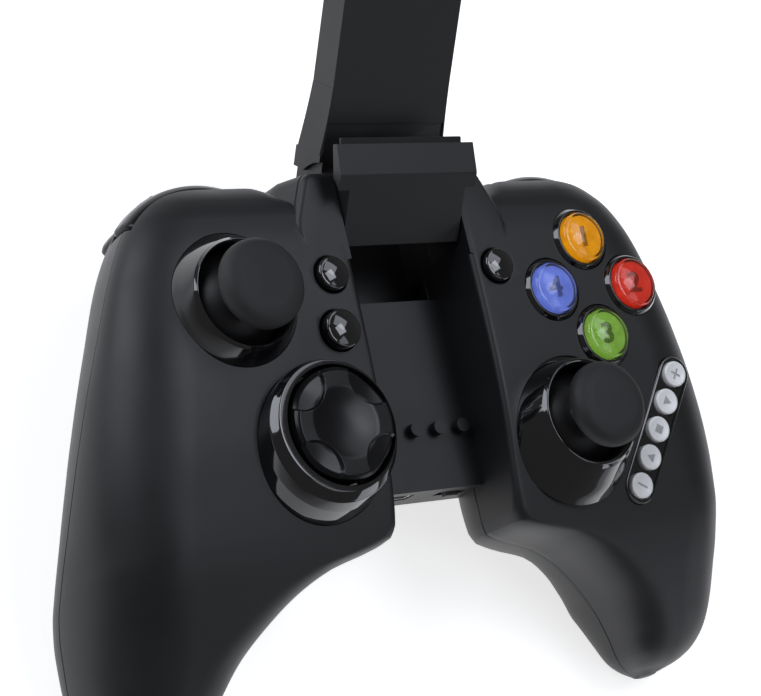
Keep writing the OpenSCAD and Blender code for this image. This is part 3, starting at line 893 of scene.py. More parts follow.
@dataclass
class Shoulder:
    """Arc at the back corner of a wing that the bumper and trigger follow."""

    at: Pair = (41.0, 8.0)
    bumper: tuple[Pair, ...] = (
        (18.6, -6.1), (19.9, -6.1), (21.4, -6.8), (22.4, -8.0), (22.8, -9.6), (22.8, -12.4), (22.3, -13.6),
        (18.6, -13.8),
    )
    bumper_span: Pair = (40.0, 119.0)
    bumper_ease: float = 0.6
    bumper_dome: float = 1.2
    bumper_room: tuple[Pair, Pair, Pair] = ((17.2, 32.0), (-14.4, -5.6), (37.0, 122.0))
    trigger: tuple[Pair, ...] = (
        (17.6, -16.4), (20.9, -16.4), (21.5, -17.4), (21.5, -20.4), (21.1, -23.6), (20.2, -25.6),
        (18.9, -25.4), (18.6, -22.6), (18.4, -20.6), (17.6, -19.6),
    )
    trigger_span: Pair = (47.0, 110.0)
    trigger_ease: float = 0.9
    trigger_dome: float = 1.6
    trigger_room: tuple[Pair, Pair, Pair] = ((16.6, 32.0), (-45.0, -15.6), (42.0, 118.0))
    lever: tuple[Triple, Triple] = ((36.0, 15.0, -20.4), (48.0, 27.4, -17.6))
    pin: Pair = (15.0, -19.0)
    boss: Pair = (37.4, 46.6)
    boss_r: float = 2.9
    bore: Pair = (30.0, 54.0)
    bore_r: float = 1.55
    end_rows: int = 6
    rows_round: int = 90

    def sector(self, name: str, profile: np.ndarray, start: float, end: float, dome: float = 0.0) -> Piece:
        """Ring sector about the arc.

        Args:
            name: Name of the piece.
            profile: Closed outline of radius and height.
            start: First angle in degrees.
            end: Last angle in degrees.
            dome: Depth of the rounding at both ends.

        Returns:
            The new solid.
        """
        middle = profile.mean(0)
        turn = math.degrees(dome / middle[0])
        rows: list[tuple[float, float]] = []
        if dome:
            fade = np.radians(np.linspace(0, 80, self.end_rows))
            rows += [(start + turn * (1 - math.sin(a)), math.cos(a)) for a in fade[:0:-1]]
        rows += [(a, 1.0) for a in np.linspace(start + turn, end - turn, self.rows_round)]
        if dome:
            rows += [(end - turn * (1 - math.sin(a)), math.cos(a)) for a in fade[1:]]
        sections = []
        for angle, share in rows:
            p = middle + (profile - middle) * (1 - (1 - share) * 0.5)
            a = math.radians(angle)
            x, y = self.at[0] + p[:, 0] * math.cos(a), self.at[1] + p[:, 0] * math.sin(a)
            sections.append(np.column_stack([x, y, p[:, 1]]))
        return loft(name, np.array(sections))

    def pocket(self, name: str, r: Pair, z: Pair, span: Pair) -> Piece:
        """Plain ring sector that cuts a pocket."""
        corners = np.array([(r[0], z[0]), (r[1], z[0]), (r[1], z[1]), (r[0], z[1])])
        return self.sector(name, corners, *span)

    def build(self, wardrobe: Wardrobe, palette: Palette) -> None:
        """Makes both bumpers and both triggers.

        Args:
            wardrobe: Makes the finishes and puts them on.
            palette: The finishes to choose from.
        """
        cover = rounded(self.bumper, self.bumper_ease, 4)
        bumper = self.sector("right_bumper_cover", cover, *self.bumper_span, dome=self.bumper_dome)
        blade_outline = rounded(self.trigger, self.trigger_ease, 4)
        blade = self.sector("right_trigger_lever", blade_outline, *self.trigger_span, dome=self.trigger_dome)
        lever, boss = box_tool("lever", *self.lever), rod("boss", self.pin, self.boss_r, self.boss)
        combine(blade, [lever, boss], Cut.ADD)
        combine(blade, [rod("bore", self.pin, self.bore_r, self.bore)], Cut.AWAY)
        for made, kind in ((bumper, "bumper"), (blade, "trigger")):
            soften(made, 40)
            twin = soften(mirrored(made, made.name.replace("right", "left")), 40)
            wardrobe.dress(made, palette.satin, f"{kind}_right", [f"right_{kind}"])
            wardrobe.dress(twin, palette.satin, f"{kind}_left", [f"left_{kind}"])


@dataclass
class Stick:
    """One stick: its polished bezel, domed stem and rubber cap."""

    side: Side
    lean: Pair
    bezel_top: float = 4.4
    bead: float = 0.45
    bead_low: float = 0.35
    hole: float = 10.1
    hole_top: float = 3.1
    hole_ease: Pair = (1.0, 1.5)
    room: Pair = (11.9, -1.4)
    seat: Triple = (13.0, -4.6, -0.8)
    rings: tuple[Pair, ...] = ((4.4, 11.2), (3.4, 11.75), (1.0, 13.0), (-1.4, 14.2), (-3.4, 15.0))
    trim: float = 0.0
    dome: float = 12.0
    dome_wall: float = 1.2
    dome_foot: float = 3.5
    dome_end: float = 66.0
    neck: Pair = (1.2, 1.0)
    pivot: float = -8.0
    hub: float = 4.0
    hub_top: float = 17.4
    cap: float = 8.75
    cap_seat: float = 9.4
    cap_under: Pair = (7.4, 7.6)
    cap_lip: Pair = (1.3, 9.0)
    cap_shoulder: Pair = (2.9, 2.55)
    cap_crown: Pair = (12.3, 0.3)
    at: np.ndarray = field(init=False)

    def settle(self, joints: Sequence[dict]) -> "Stick":
        """Takes the stick's place from its joint."""
        self.at = joint_place(joints, f"{self.side.word}_stick_fore_aft")
        return self

    def flare(self, grow: float) -> np.ndarray:
        """Skirt from its foot up to the rim, as radius and height.

        Args:
            grow: Length added to the radius.

        Returns:
            One row of radius and height for each level.
        """
        rings = np.array(self.rings)[::-1]
        z = np.linspace(rings[0, 0], rings[-1, 0], 40)
        return np.column_stack([glide(rings[:, 0], rings[:, 1:], z)[:, 0] - self.trim + grow, z])

    def skirt_tool(self, grow: float) -> Piece:
        """Solid of the skirt, a little larger, that seats it in the shell.

        Args:
            grow: Length added to the radius.

        Returns:
            The new solid.
        """
        outside = self.flare(grow)
        profile = np.vstack([[0, outside[0, 1]], outside, [0, outside[-1, 1]]])
        return turned("skirt_tool", profile, self.at, self.lean, self.bezel_top)

    def build(self, wardrobe: Wardrobe, palette: Palette) -> None:
        """Makes the bezel, the stem and the cap.

        Args:
            wardrobe: Makes the finishes and puts them on.
            palette: The finishes to choose from.
        """
        word = self.side.word
        bezel = self._bezel(f"{word}_bezel_ring")
        stem = soften(turned(f"{word}_stem_dome", self._stem_profile(), self.at + [0, 0, self.pivot]), 45)
        cap = soften(turned(f"{word}_cap_rubber", self._cap_profile(), self.at), 50)
        wardrobe.dress(bezel, palette.gloss, "housing", [f"{word}_stick_bezel"])
        wardrobe.dress(stem, palette.stem, f"{word}_stick", [f"{word}_stick_stem"])
        wardrobe.dress(cap, palette.cap, f"{word}_stick", [f"{word}_stick_cap"])

    def _bezel(self, name: str) -> Piece:
        """Leaning skirt with an upright hole and a beaded rim.

        Args:
            name: Name of the piece.

        Returns:
            The new solid.
        """
        outside = self.flare(0.0)
        b = self.bead
        bead = bow(outside[-1, 0] - b, self.bezel_top - self.bead_low, b, b, 20, 100, 8)
        profile = np.vstack([[0, outside[0, 1]], outside[:-3], bead, [0, bead[-1, 1]]])
        ring = turned(name, profile, self.at, self.lean, self.bezel_top, 192)
        combine(ring, [drum("seat", self.at, *self.seat)], Cut.ADD)
        (wide, roof), (across, up) = self.room, self.hole_ease
        low, high = -6.0, 6.0
        rim = bow(self.hole + across, self.hole_top, across, up, 180, 110, 8)
        mouth = np.vstack(
            [
                [[0, low], [wide, low], [wide, roof], [self.hole, roof], [self.hole, self.hole_top]],
                rim,
                [[self.hole + 0.7, high], [0, high]],
            ]
        )
        combine(ring, [turned("mouth", mouth, self.at, steps=192)], Cut.AWAY)
        return soften(ring, 38)

    def _stem_profile(self) -> np.ndarray:
        """Hollow dome with a hub that flows out of it.

        Returns:
            The closed profile, as radius and height.
        """
        inside = self.dome - self.dome_wall
        low = math.degrees(math.asin(self.dome_foot / self.dome))
        outer = bow(0, 0, self.dome, self.dome, low, self.dome_end, 30)
        neck = bow(self.hub + self.neck[0], outer[-1, 1] + self.neck[1], *self.neck, 250, 180, 8)
        inner = bow(0, 0, inside, inside, 89, low + 2, 24)
        return np.vstack([outer, neck, [self.hub, self.hub_top], [0, self.hub_top], [0, inside], inner])

    def _cap_profile(self) -> np.ndarray:
        """Thick mushroom cap with a soft shoulder and a shallow crown.

        Returns:
            The closed profile, as radius and height.
        """
        r, seat = self.cap, self.cap_seat
        (low, flare), (lip, lip_z), (wide, tall) = self.cap_under, self.cap_lip, self.cap_shoulder
        under = np.array([[0, seat], [self.hub, seat], [self.hub, low], [r - 2.4, flare]])
        lower = bow(r - lip, lip_z, lip, lip, -70, 0, 8)
        shoulder = bow(r - wide, seat, wide, tall, 0, 78, 16)
        top, fall = self.cap_crown
        crown = np.array([[s, top - fall * (s / r) ** 2] for s in np.linspace(r - 3.1, 0, 12)])
        return np.vstack([under, lower, shoulder, crown])


@dataclass
class DirectionPad:
    """Round pad with a raised cross, in its leaning bezel."""

    radius: float = 10.9
    top: float = 5.0
    foot: float = -1.0
    edge: Pair = (0.9, 0.6)
    notch: float = 5.5
    notch_at: float = 11.6
    notch_wall: Pair = (0.45, 0.62)
    notch_fall: float = 0.13
    dish: float = 31.0
    dish_depth: float = 0.8
    ease: float = 0.11
    rings: tuple[tuple[float, float, float, float], ...] = (
        (-4.2, 14.7, -2.2, -2.7), (-2.4, 14.4, -2.0, -2.4), (0.0, 14.15, -1.6, -1.6), (2.2, 13.9, -1.2, -0.7),
        (3.4, 12.8, -0.8, 0.0),
    )
    rim_ease: float = 0.22
    well: float = 11.6
    well_foot: float = -6.6
    well_edge: float = 0.5
    seat: Triple = (12.5, -8.0, -0.2)
    foot_edge: float = 0.3
    plain: float = 5.5
    around: int = 384
    at: np.ndarray = field(init=False)

    def settle(self, joints: Sequence[dict]) -> "DirectionPad":
        """Takes the pad's place from its joint."""
        self.at = joint_place(joints, "dpad_fore_aft")
        return self

    def skirt_tool(self, grow: float) -> Piece:
        """Solid of the bezel's skirt that seats it in the shell."""
        return self._skirt("pad_skirt", grow, 0.0)

    def _skirt(self, name: str, grow: float, ease: float) -> Piece:
        """Closed skirt through rings that step aside as they go down.

        Args:
            name: Name of the piece.
            grow: Length added to every ring's radius.
            ease: Rounding of the rings' edges.

        Returns:
            The new solid.
        """
        z, r, dx, dy = np.array(self.rings).T
        p = np.vstack([[0, z[0]], np.column_stack([r + grow, z]), [0, z[-1]]])
        if ease:
            p = rounded(p, ease, 5)
            p[:, 0] = np.maximum(p[:, 0], 0)
        a = np.linspace(0, 2 * math.pi, 192, endpoint=False)[:, None]
        rows = np.empty((a.size, len(p), 3))
        rows[..., 0] = self.at[0] + np.interp(p[:, 1], z, dx) + p[:, 0] * np.cos(a)
        rows[..., 1] = self.at[1] + np.interp(p[:, 1], z, dy) + p[:, 0] * np.sin(a)
        rows[..., 2] = p[:, 1]
        return loft(name, rows, ring=True)

    def height(self, r: np.ndarray, a: np.ndarray) -> np.ndarray:
        """Top of the pad at a radius and an angle, with a bevelled rim and four stepped notches.

        Args:
            r: Radii.
            a: Angles in radians, in the same shape.

        Returns:
            The heights, in the same shape.
        """
        over = np.clip((r - (self.radius - self.edge[0])) / self.edge[0], 0, 1)
        crown = self.top - self.edge[1] * over**1.5
        bowl = self.top - self.dish_depth + self.dish - np.sqrt(self.dish**2 - r**2)
        surface = self._ease(crown, bowl)
        x, y = r * np.cos(a), r * np.sin(a)
        for k in range(4):
            t = math.radians(45 + 90 * k)
            inside = self.notch - np.hypot(x - self.notch_at * math.cos(t), y - self.notch_at * math.sin(t))
            step = np.clip(inside / self.notch_wall[0], 0, 1)
            wall = self.notch_wall[1] * step**2 * (3 - 2 * step)
            surface = surface - wall - self.notch_fall * np.maximum(inside, 0)
        return surface

    def _ease(self, a: np.ndarray, b: np.ndarray) -> np.ndarray:
        """Lower of two heights, rounded where they cross."""
        h = np.clip(0.5 + 0.5 * (b - a) / self.ease, 0, 1)
        return b * (1 - h) + a * h - self.ease * h * (1 - h)

    def build(self, wardrobe: Wardrobe, palette: Palette) -> None:
        """Makes the bezel and the pad."""
        wardrobe.dress(self._bezel(), palette.gloss, "housing", ["dpad_bezel"])
        wardrobe.dress(self._pad(), palette.satin, "direction_pad", ["dpad"])

    def _pad(self) -> Piece:
        """Closed pad from a fine grid of radii and angles.

        Returns:
            The pad.
        """
        a = np.linspace(0, 2 * math.pi, self.around, endpoint=False)[:, None]
        middle, notched = np.linspace(0, self.plain, 26)[:-1], np.linspace(self.plain, self.radius, 110)
        r = np.concatenate([middle, notched])[None, :]
        z = self.height(r + 0 * a, a + 0 * r)
        side = np.linspace(1, 0, 7)[1:]
        wall = self.foot + self.foot_edge + (z[:, -1:] - self.foot - self.foot_edge) * side
        rows = np.zeros((len(a), r.size + side.size + 2, 3))
        radii = np.concatenate([r[0], np.full(side.size, self.radius), [self.radius - self.foot_edge, 0.0]])
        rows[..., 0] = self.at[0] + radii * np.cos(a)
        rows[..., 1] = self.at[1] + radii * np.sin(a)
        rows[..., 2] = np.hstack([z, wall, np.full((len(a), 2), self.foot)])
        return soften(loft("direction_pad_disc", rows, ring=True), 30)

    def _bezel(self) -> Piece:
        """Leaning skirt with an upright well.

        Returns:
            The bezel.
        """
        well, low, edge = self.well, self.well_foot, self.well_edge
        top = self.rings[-1][0]
        ring = self._skirt("pad_bezel_ring", 0.0, self.rim_ease)
        combine(ring, [drum("seat", self.at, *self.seat)], Cut.ADD)
        mouth = np.array(
            [[0, low], [well, low], [well, top - edge], [well + edge, top + edge], [0, top + edge]]
        )
        combine(ring, [turned("well", mouth, self.at, steps=192)], Cut.AWAY)
        return soften(ring, 38)


@dataclass(frozen=True)
class ButtonLook:
    """Place, hue, numeral and colours of one face button."""

    place: str
    hue: str
    digit: str
    light: Colour
    deep: Colour


@dataclass
class FaceButtons:
    """Four clear domes over coloured cores, each in a polished collar."""

    radius: float = 5.25
    play: float = 0.3
    shoulder: Pair = (0.75, 0.72)
    flange: float = 6.2
    flange_top: float = -3.0
    flange_edge: float = 0.2
    sphere: float = 11.0
    crown: float = 2.9
    foot: float = -5.2
    collar: float = 6.7
    collar_z: Triple = (-2.6, -0.15, 0.8)
    collar_land: float = 0.45
    collar_ease: float = 0.14
    core: float = 4.5
    core_foot: float = -4.6
    core_edge: float = 0.5
    core_crown: Pair = (0.12, 0.3)
    core_glow: float = 0.45
    numeral: float = 5.6
    numeral_deep: float = 0.35
    numeral_bevel: float = 0.08
    numeral_at: Triple = (0.0, -0.1, 0.75)
    numeral_shade: float = 0.4
    numeral_glow: float = 0.2
    looks: tuple[ButtonLook, ...] = (
        ButtonLook("right", "red", "2", (0.9, 0.16, 0.1), (0.62, 0.06, 0.03)),
        ButtonLook("upper", "orange", "1", (1.0, 0.55, 0.03), (0.82, 0.46, 0.01)),
        ButtonLook("left", "blue", "4", (0.42, 0.5, 1.0), (0.22, 0.3, 0.68)),
        ButtonLook("lower", "green", "3", (0.45, 0.75, 0.2), (0.3, 0.44, 0.1)),
    )

    def places(self) -> list[np.ndarray]:
        """Middles of the four buttons on the face."""
        return [centre_of(f"{look.place}_face_button") * ON_FACE for look in self.looks]

    def build(self, wardrobe: Wardrobe, palette: Palette) -> None:
        """Makes the collars, domes, cores and numerals.

        Args:
            wardrobe: Makes the finishes and puts them on.
            palette: The finishes to choose from.
        """
        collars = []
        for look, at in zip(self.looks, self.places()):
            hue, body, slot = look.hue, f"{look.hue}_button", f"button_{look.hue}"
            tint = Tinted(f"{hue}_clear", slot, look.light)
            # cores and numerals carry a painted glow that stands in for light through the dome
            core = Glowing(f"{hue}_core", slot, look.deep, self.core_glow)
            shade = tuple(self.numeral_shade * c for c in look.deep)
            figure = Glowing(f"{hue}_numeral", slot, shade, self.numeral_glow)
            dome = soften(turned(f"{hue}_dome", self._dome_profile(), at), 40)
            wardrobe.dress(dome, tint, body, [f"{look.place}_face_button"])
            puck = soften(turned(f"{hue}_puck", self._puck_profile(), at, steps=96), 40)
            wardrobe.dress(puck, core, body)
            wardrobe.dress(self._digit(f"{hue}_digit", look.digit, at), figure, body)
            collars.append(turned(f"{hue}_collar", self._collar_profile(), at))
        ring = combine(collars[0], collars[1:], Cut.ADD)
        ring.name = "face_collar_rings"
        wardrobe.dress(soften(ring, 38), palette.gloss, "housing", ["face_button_collars"])

    def _dome_profile(self) -> np.ndarray:
        """Lens with a soft shoulder, a straight side and a flange.

        Returns:
            The closed profile, as radius and height.
        """
        r, low = self.radius, self.crown - self.sphere
        across, down = self.shoulder
        lens = [(x, low + math.sqrt(self.sphere**2 - x**2)) for x in np.linspace(0, r - across, 24)]
        shoulder = bow(r - across, lens[-1][1] - down, across, down, 80, 0, 8)
        wide, shelf, edge = self.flange, self.flange_top, self.flange_edge
        side = [(r, shelf), (wide - edge, shelf), (wide, shelf - edge), (wide, self.foot), (0, self.foot)]
        return np.vstack([lens, shoulder, side])

    def _puck_profile(self) -> np.ndarray:
        """Low crowned core under the dome.

        Returns:
            The closed profile, as radius and height.
        """
        r, edge = self.core, self.core_edge
        rim = bow(r - edge, -edge, edge, edge, 0, 80, 6)
        low, rise = self.core_crown
        crown = [(x, low + rise * (1 - (x / r) ** 2)) for x in np.linspace(r - 0.55, 0, 10)]
        return np.vstack([[0, self.core_foot], [r, self.core_foot], rim, crown])

    def _collar_profile(self) -> np.ndarray:
        """Ring with a wide sloping face.

        Returns:
            The closed profile, as radius and height.
        """
        hole, rim = self.radius + self.play, self.collar
        low, side, top = self.collar_z
        corners = [(hole, low), (rim, low), (rim, side), (hole + self.collar_land, top), (hole, top)]
        return rounded(corners, self.collar_ease, 4)

    def _digit(self, name: str, digit: str, at: np.ndarray) -> Piece:
        """Plain raised numeral on the core.

        Args:
            name: Name of the piece.
            digit: The numeral.
            at: Middle of the button on the face.

        Returns:
            The numeral as a mesh object.
        """
        words = bpy.data.curves.new(name, "FONT")
        words.body = digit
        words.align_x = "CENTER"
        words.align_y = "CENTER"
        words.size = self.numeral * MM
        words.extrude = self.numeral_deep * MM
        words.bevel_depth = self.numeral_bevel * MM
        words.resolution_u = 6
        shown = bpy.data.objects.new(name, words)
        bpy.context.scene.collection.objects.link(shown)
        mesh = bpy.data.meshes.new_from_object(shown.evaluated_get(bpy.context.evaluated_depsgraph_get()))
        bpy.data.objects.remove(shown)
        made = bpy.data.objects.new(name, mesh)
        mesh.transform(Matrix.Translation(to_frame(at + self.numeral_at)))
        bpy.context.scene.collection.objects.link(made)
        return soften(made, 40)


@dataclass(frozen=True)
class KeySize:
    """Node's word, body, radius and rise of one small key."""

    word: str
    body: str
    radius: float
    rise: float

    def place(self) -> np.ndarray:
        """Middle of the key on the face."""
        return centre_of(f"{self.word}_key") * ON_FACE


@dataclass
class SmallKeys:
    """Three polished domed keys beside the bay."""

    sizes: tuple[KeySize, ...] = (
        KeySize("left_upper", "upper_left_key", 3.4, 1.9),
        KeySize("left_lower", "lower_left_key", 3.9, 2.7),
        KeySize("right", "upper_right_key", 3.4, 1.9),
    )
    play: float = 0.3
    rim: float = 0.35
    hole_z: Pair = (-8.0, 3.0)
    sphere: float = 9.0
    shoulder: Pair = (0.55, 0.5)
    foot: float = -4.4
    ear: Pair = (1.5, 1.2)
    ear_high: float = 2.0
    ear_room: Pair = (-5.8, -2.2)

    def ears(self, at: np.ndarray, radius: float, half: float, span: Pair) -> Piece:
        """Bar that stands out on both sides of a key, as a piece or as its room.

        Args:
            at: Middle of the key on the face.
            radius: Radius that the bar reaches past.
            half: Half of its width.
            span: Heights of its foot and top.

        Returns:
            The bar.
        """
        reach = radius + self.ear[1]
        low = (at[0] - half, at[1] - reach, span[0])
        return box_tool("ears", low, (at[0] + half, at[1] + reach, span[1]))

    def tools(self) -> list[Piece]:
        """Cutters of the three holes, each with an eased rim.

        Returns:
            Two cutters for each key.
        """
        made = []
        low, high = self.hole_z
        for size in self.sizes:
            r, at, rim = size.radius + self.play, size.place(), self.rim
            edge = bow(r + rim, -rim, rim, rim, 180, 90, 6)
            profile = np.vstack([[0, low], [r, low], edge, [r + rim, high], [0, high]])
            made.append(turned(f"{size.word}_hole", profile, at))
            made.append(self.ears(at, r, self.ear[0] + self.play, self.ear_room))
        return made

    def build(self, wardrobe: Wardrobe, palette: Palette) -> None:
        """Makes the three keys.

        Args:
            wardrobe: Makes the finishes and puts them on.
            palette: The finishes to choose from.
        """
        across, down = self.shoulder
        for size in self.sizes:
            r, low, at = size.radius, size.rise - self.sphere, size.place()
            lens = [(x, low + math.sqrt(self.sphere**2 - x**2)) for x in np.linspace(0, r - across, 20)]
            shoulder = bow(r - across, lens[-1][1] - down, across, down, 75, 0, 8)
            profile = np.vstack([lens, shoulder, [r, self.foot], [0, self.foot]])
            key = turned(f"{size.word}_key_dome", profile, at)
            combine(key, [self.ears(at, r, self.ear[0], (self.foot, self.foot + self.ear_high))], Cut.ADD)
            wardrobe.dress(soften(key, 40), palette.gloss, size.body, [f"{size.word}_key"])


@dataclass
class MediaRow:
    """Five flat silver buttons in a polished strip on the falling face."""

    numbers: tuple[int, ...] = (1, 2, 3, 4, 5)
    radius: float = 2.7
    play: float = 0.3
    strip: float = 3.75
    strip_z: Pair = (-2.4, 0.5)
    seat_z: Pair = (-6.4, 4.0)
    dish: Pair = (0.62, 0.28)
    edge: float = 0.35
    rise: float = 1.2
    sink: float = 0.06
    middle: float = 1.7
    foot: float = -4.6
    flange: Pair = (3.1, -3.0)
    mark: float = 0.06
    origin: np.ndarray = field(init=False)
    axes: np.ndarray = field(init=False)
    step: float = field(init=False)

    def settle(self, joints: Sequence[dict]) -> "MediaRow":
        """Takes the row's plane from a joint and its line from the end buttons.

        Args:
            joints: The frame's joints.

        Returns:
            The row itself.
        """
        press = next(j for j in joints if j["name"] == "media_3_press")
        up = -unit(np.array(press["axis"], float))
        first, last = centre_of("media_button_1"), centre_of("media_button_5")
        along = unit(first - last)
        self.axes = np.column_stack([np.cross(along, up), along, up])
        self.origin = (first + last) / 2 + up * self.middle
        self.step = float(np.linalg.norm(first - last)) / 4
        return self

    def moved(self, made: Piece) -> Piece:
        """Carries a piece that was built about the face's origin into the row's frame.

        Args:
            made: The piece.

        Returns:
            The same piece, in place.
        """
        turn = Matrix(self.axes.tolist()).to_4x4()
        home = Vector(to_frame(np.zeros(3)))
        made.data.transform(Matrix.Translation(to_frame(self.origin)) @ turn @ Matrix.Translation(-home))
        return made

    def oblong(self, radius: float) -> np.ndarray:
        """Outline with two round ends about the five buttons."""
        reach, r = 2 * self.step, radius
        return np.vstack([bow(0, reach, r, r, 0, 180, 32), bow(0, -reach, r, r, 180, 360, 32)])

    def spot(self, k: int) -> Triple:
        """Place of a button in the row's frame."""
        return (0.0, self.step * (3 - k), 0.0)

    def tool(self) -> Piece:
        """Cutter of the strip's seat."""
        return self.moved(slab("strip_seat", self.oblong(self.strip + 0.1), *self.seat_z, 0.1))

    def build(self, wardrobe: Wardrobe, palette: Palette) -> None:
        """Makes the strip, the buttons and their marks.

        Args:
            wardrobe: Makes the finishes and puts them on.
            palette: The finishes to choose from.
        """
        strip = slab("media_strip_plate", self.oblong(self.strip), *self.strip_z, self.edge)
        dish = slab("dish", self.oblong(self.strip - self.dish[0]), self.dish[1], 3.0, 0.1)
        holes = [drum(f"hole_{k}", self.spot(k), self.radius + self.play, -5, 5) for k in self.numbers]
        combine(strip, [dish, *holes], Cut.AWAY)
        wardrobe.dress(soften(self.moved(strip), 38), palette.gloss, "housing", ["media_strip"])
        face = self.rise - self.sink
        for k in self.numbers:
            button = turned(f"media_cap_{k}", self._button_profile(face), self.spot(k), steps=96)
            soften(self.moved(button), 40)
            wardrobe.dress(button, palette.silver, f"media_{k}", [f"media_button_{k}"])
            bars = []
            for n, outline in enumerate(self._marks(k)):
                moved = outline + np.array(self.spot(k)[:2])
                bars.append(slab(f"bar_{n}", moved, self.rise - 0.3, face + self.mark, 0.02))
            sign = combine(bars[0], bars[1:], Cut.ADD) if len(bars) > 1 else bars[0]
            sign.name = f"media_mark_{k}"
            wardrobe.dress(soften(self.moved(sign), 30), palette.ink, f"media_{k}")

    def _button_profile(self, face: float) -> np.ndarray:
        """Button with a flange, a round edge and a face a little below it.

        Args:
            face: Height of the face.

        Returns:
            The closed profile, as radius and height.
        """
        r, e = self.radius, self.edge
        wide, shelf = self.flange
        foot = [[0, self.foot], [wide, self.foot], [wide, shelf], [r, shelf]]
        return np.vstack([foot, bow(r - e, self.rise - e, e, e, 0, 90, 6), [[r - 0.6, face], [0, face]]])

    @staticmethod
    def _marks(k: int) -> list[np.ndarray]:
        """Outlines of a plain sign: plus, forward, square, back and minus.

        Args:
            k: Number of the button, from 1.

        Returns:
            The sign's closed outlines.
        """
        def bar(w: float, h: float, x: float = 0.0) -> np.ndarray:
            """Upright bar about a point."""
            return rounded([(x - w, -h), (x + w, -h), (x + w, h), (x - w, h)], 0.1, 3)

        arrow = np.array([(-0.8, -1.0), (1.0, 0.0), (-0.8, 1.0)])
        signs = {
            1: [bar(1.2, 0.2), bar(0.2, 1.2)],
            2: [rounded(arrow, 0.2, 3)],
            3: [bar(0.85, 0.85)],
            4: [rounded(arrow[::-1] * (-1, 1), 0.2, 3)],
            5: [bar(1.2, 0.2)],
        }
        return signs[k]


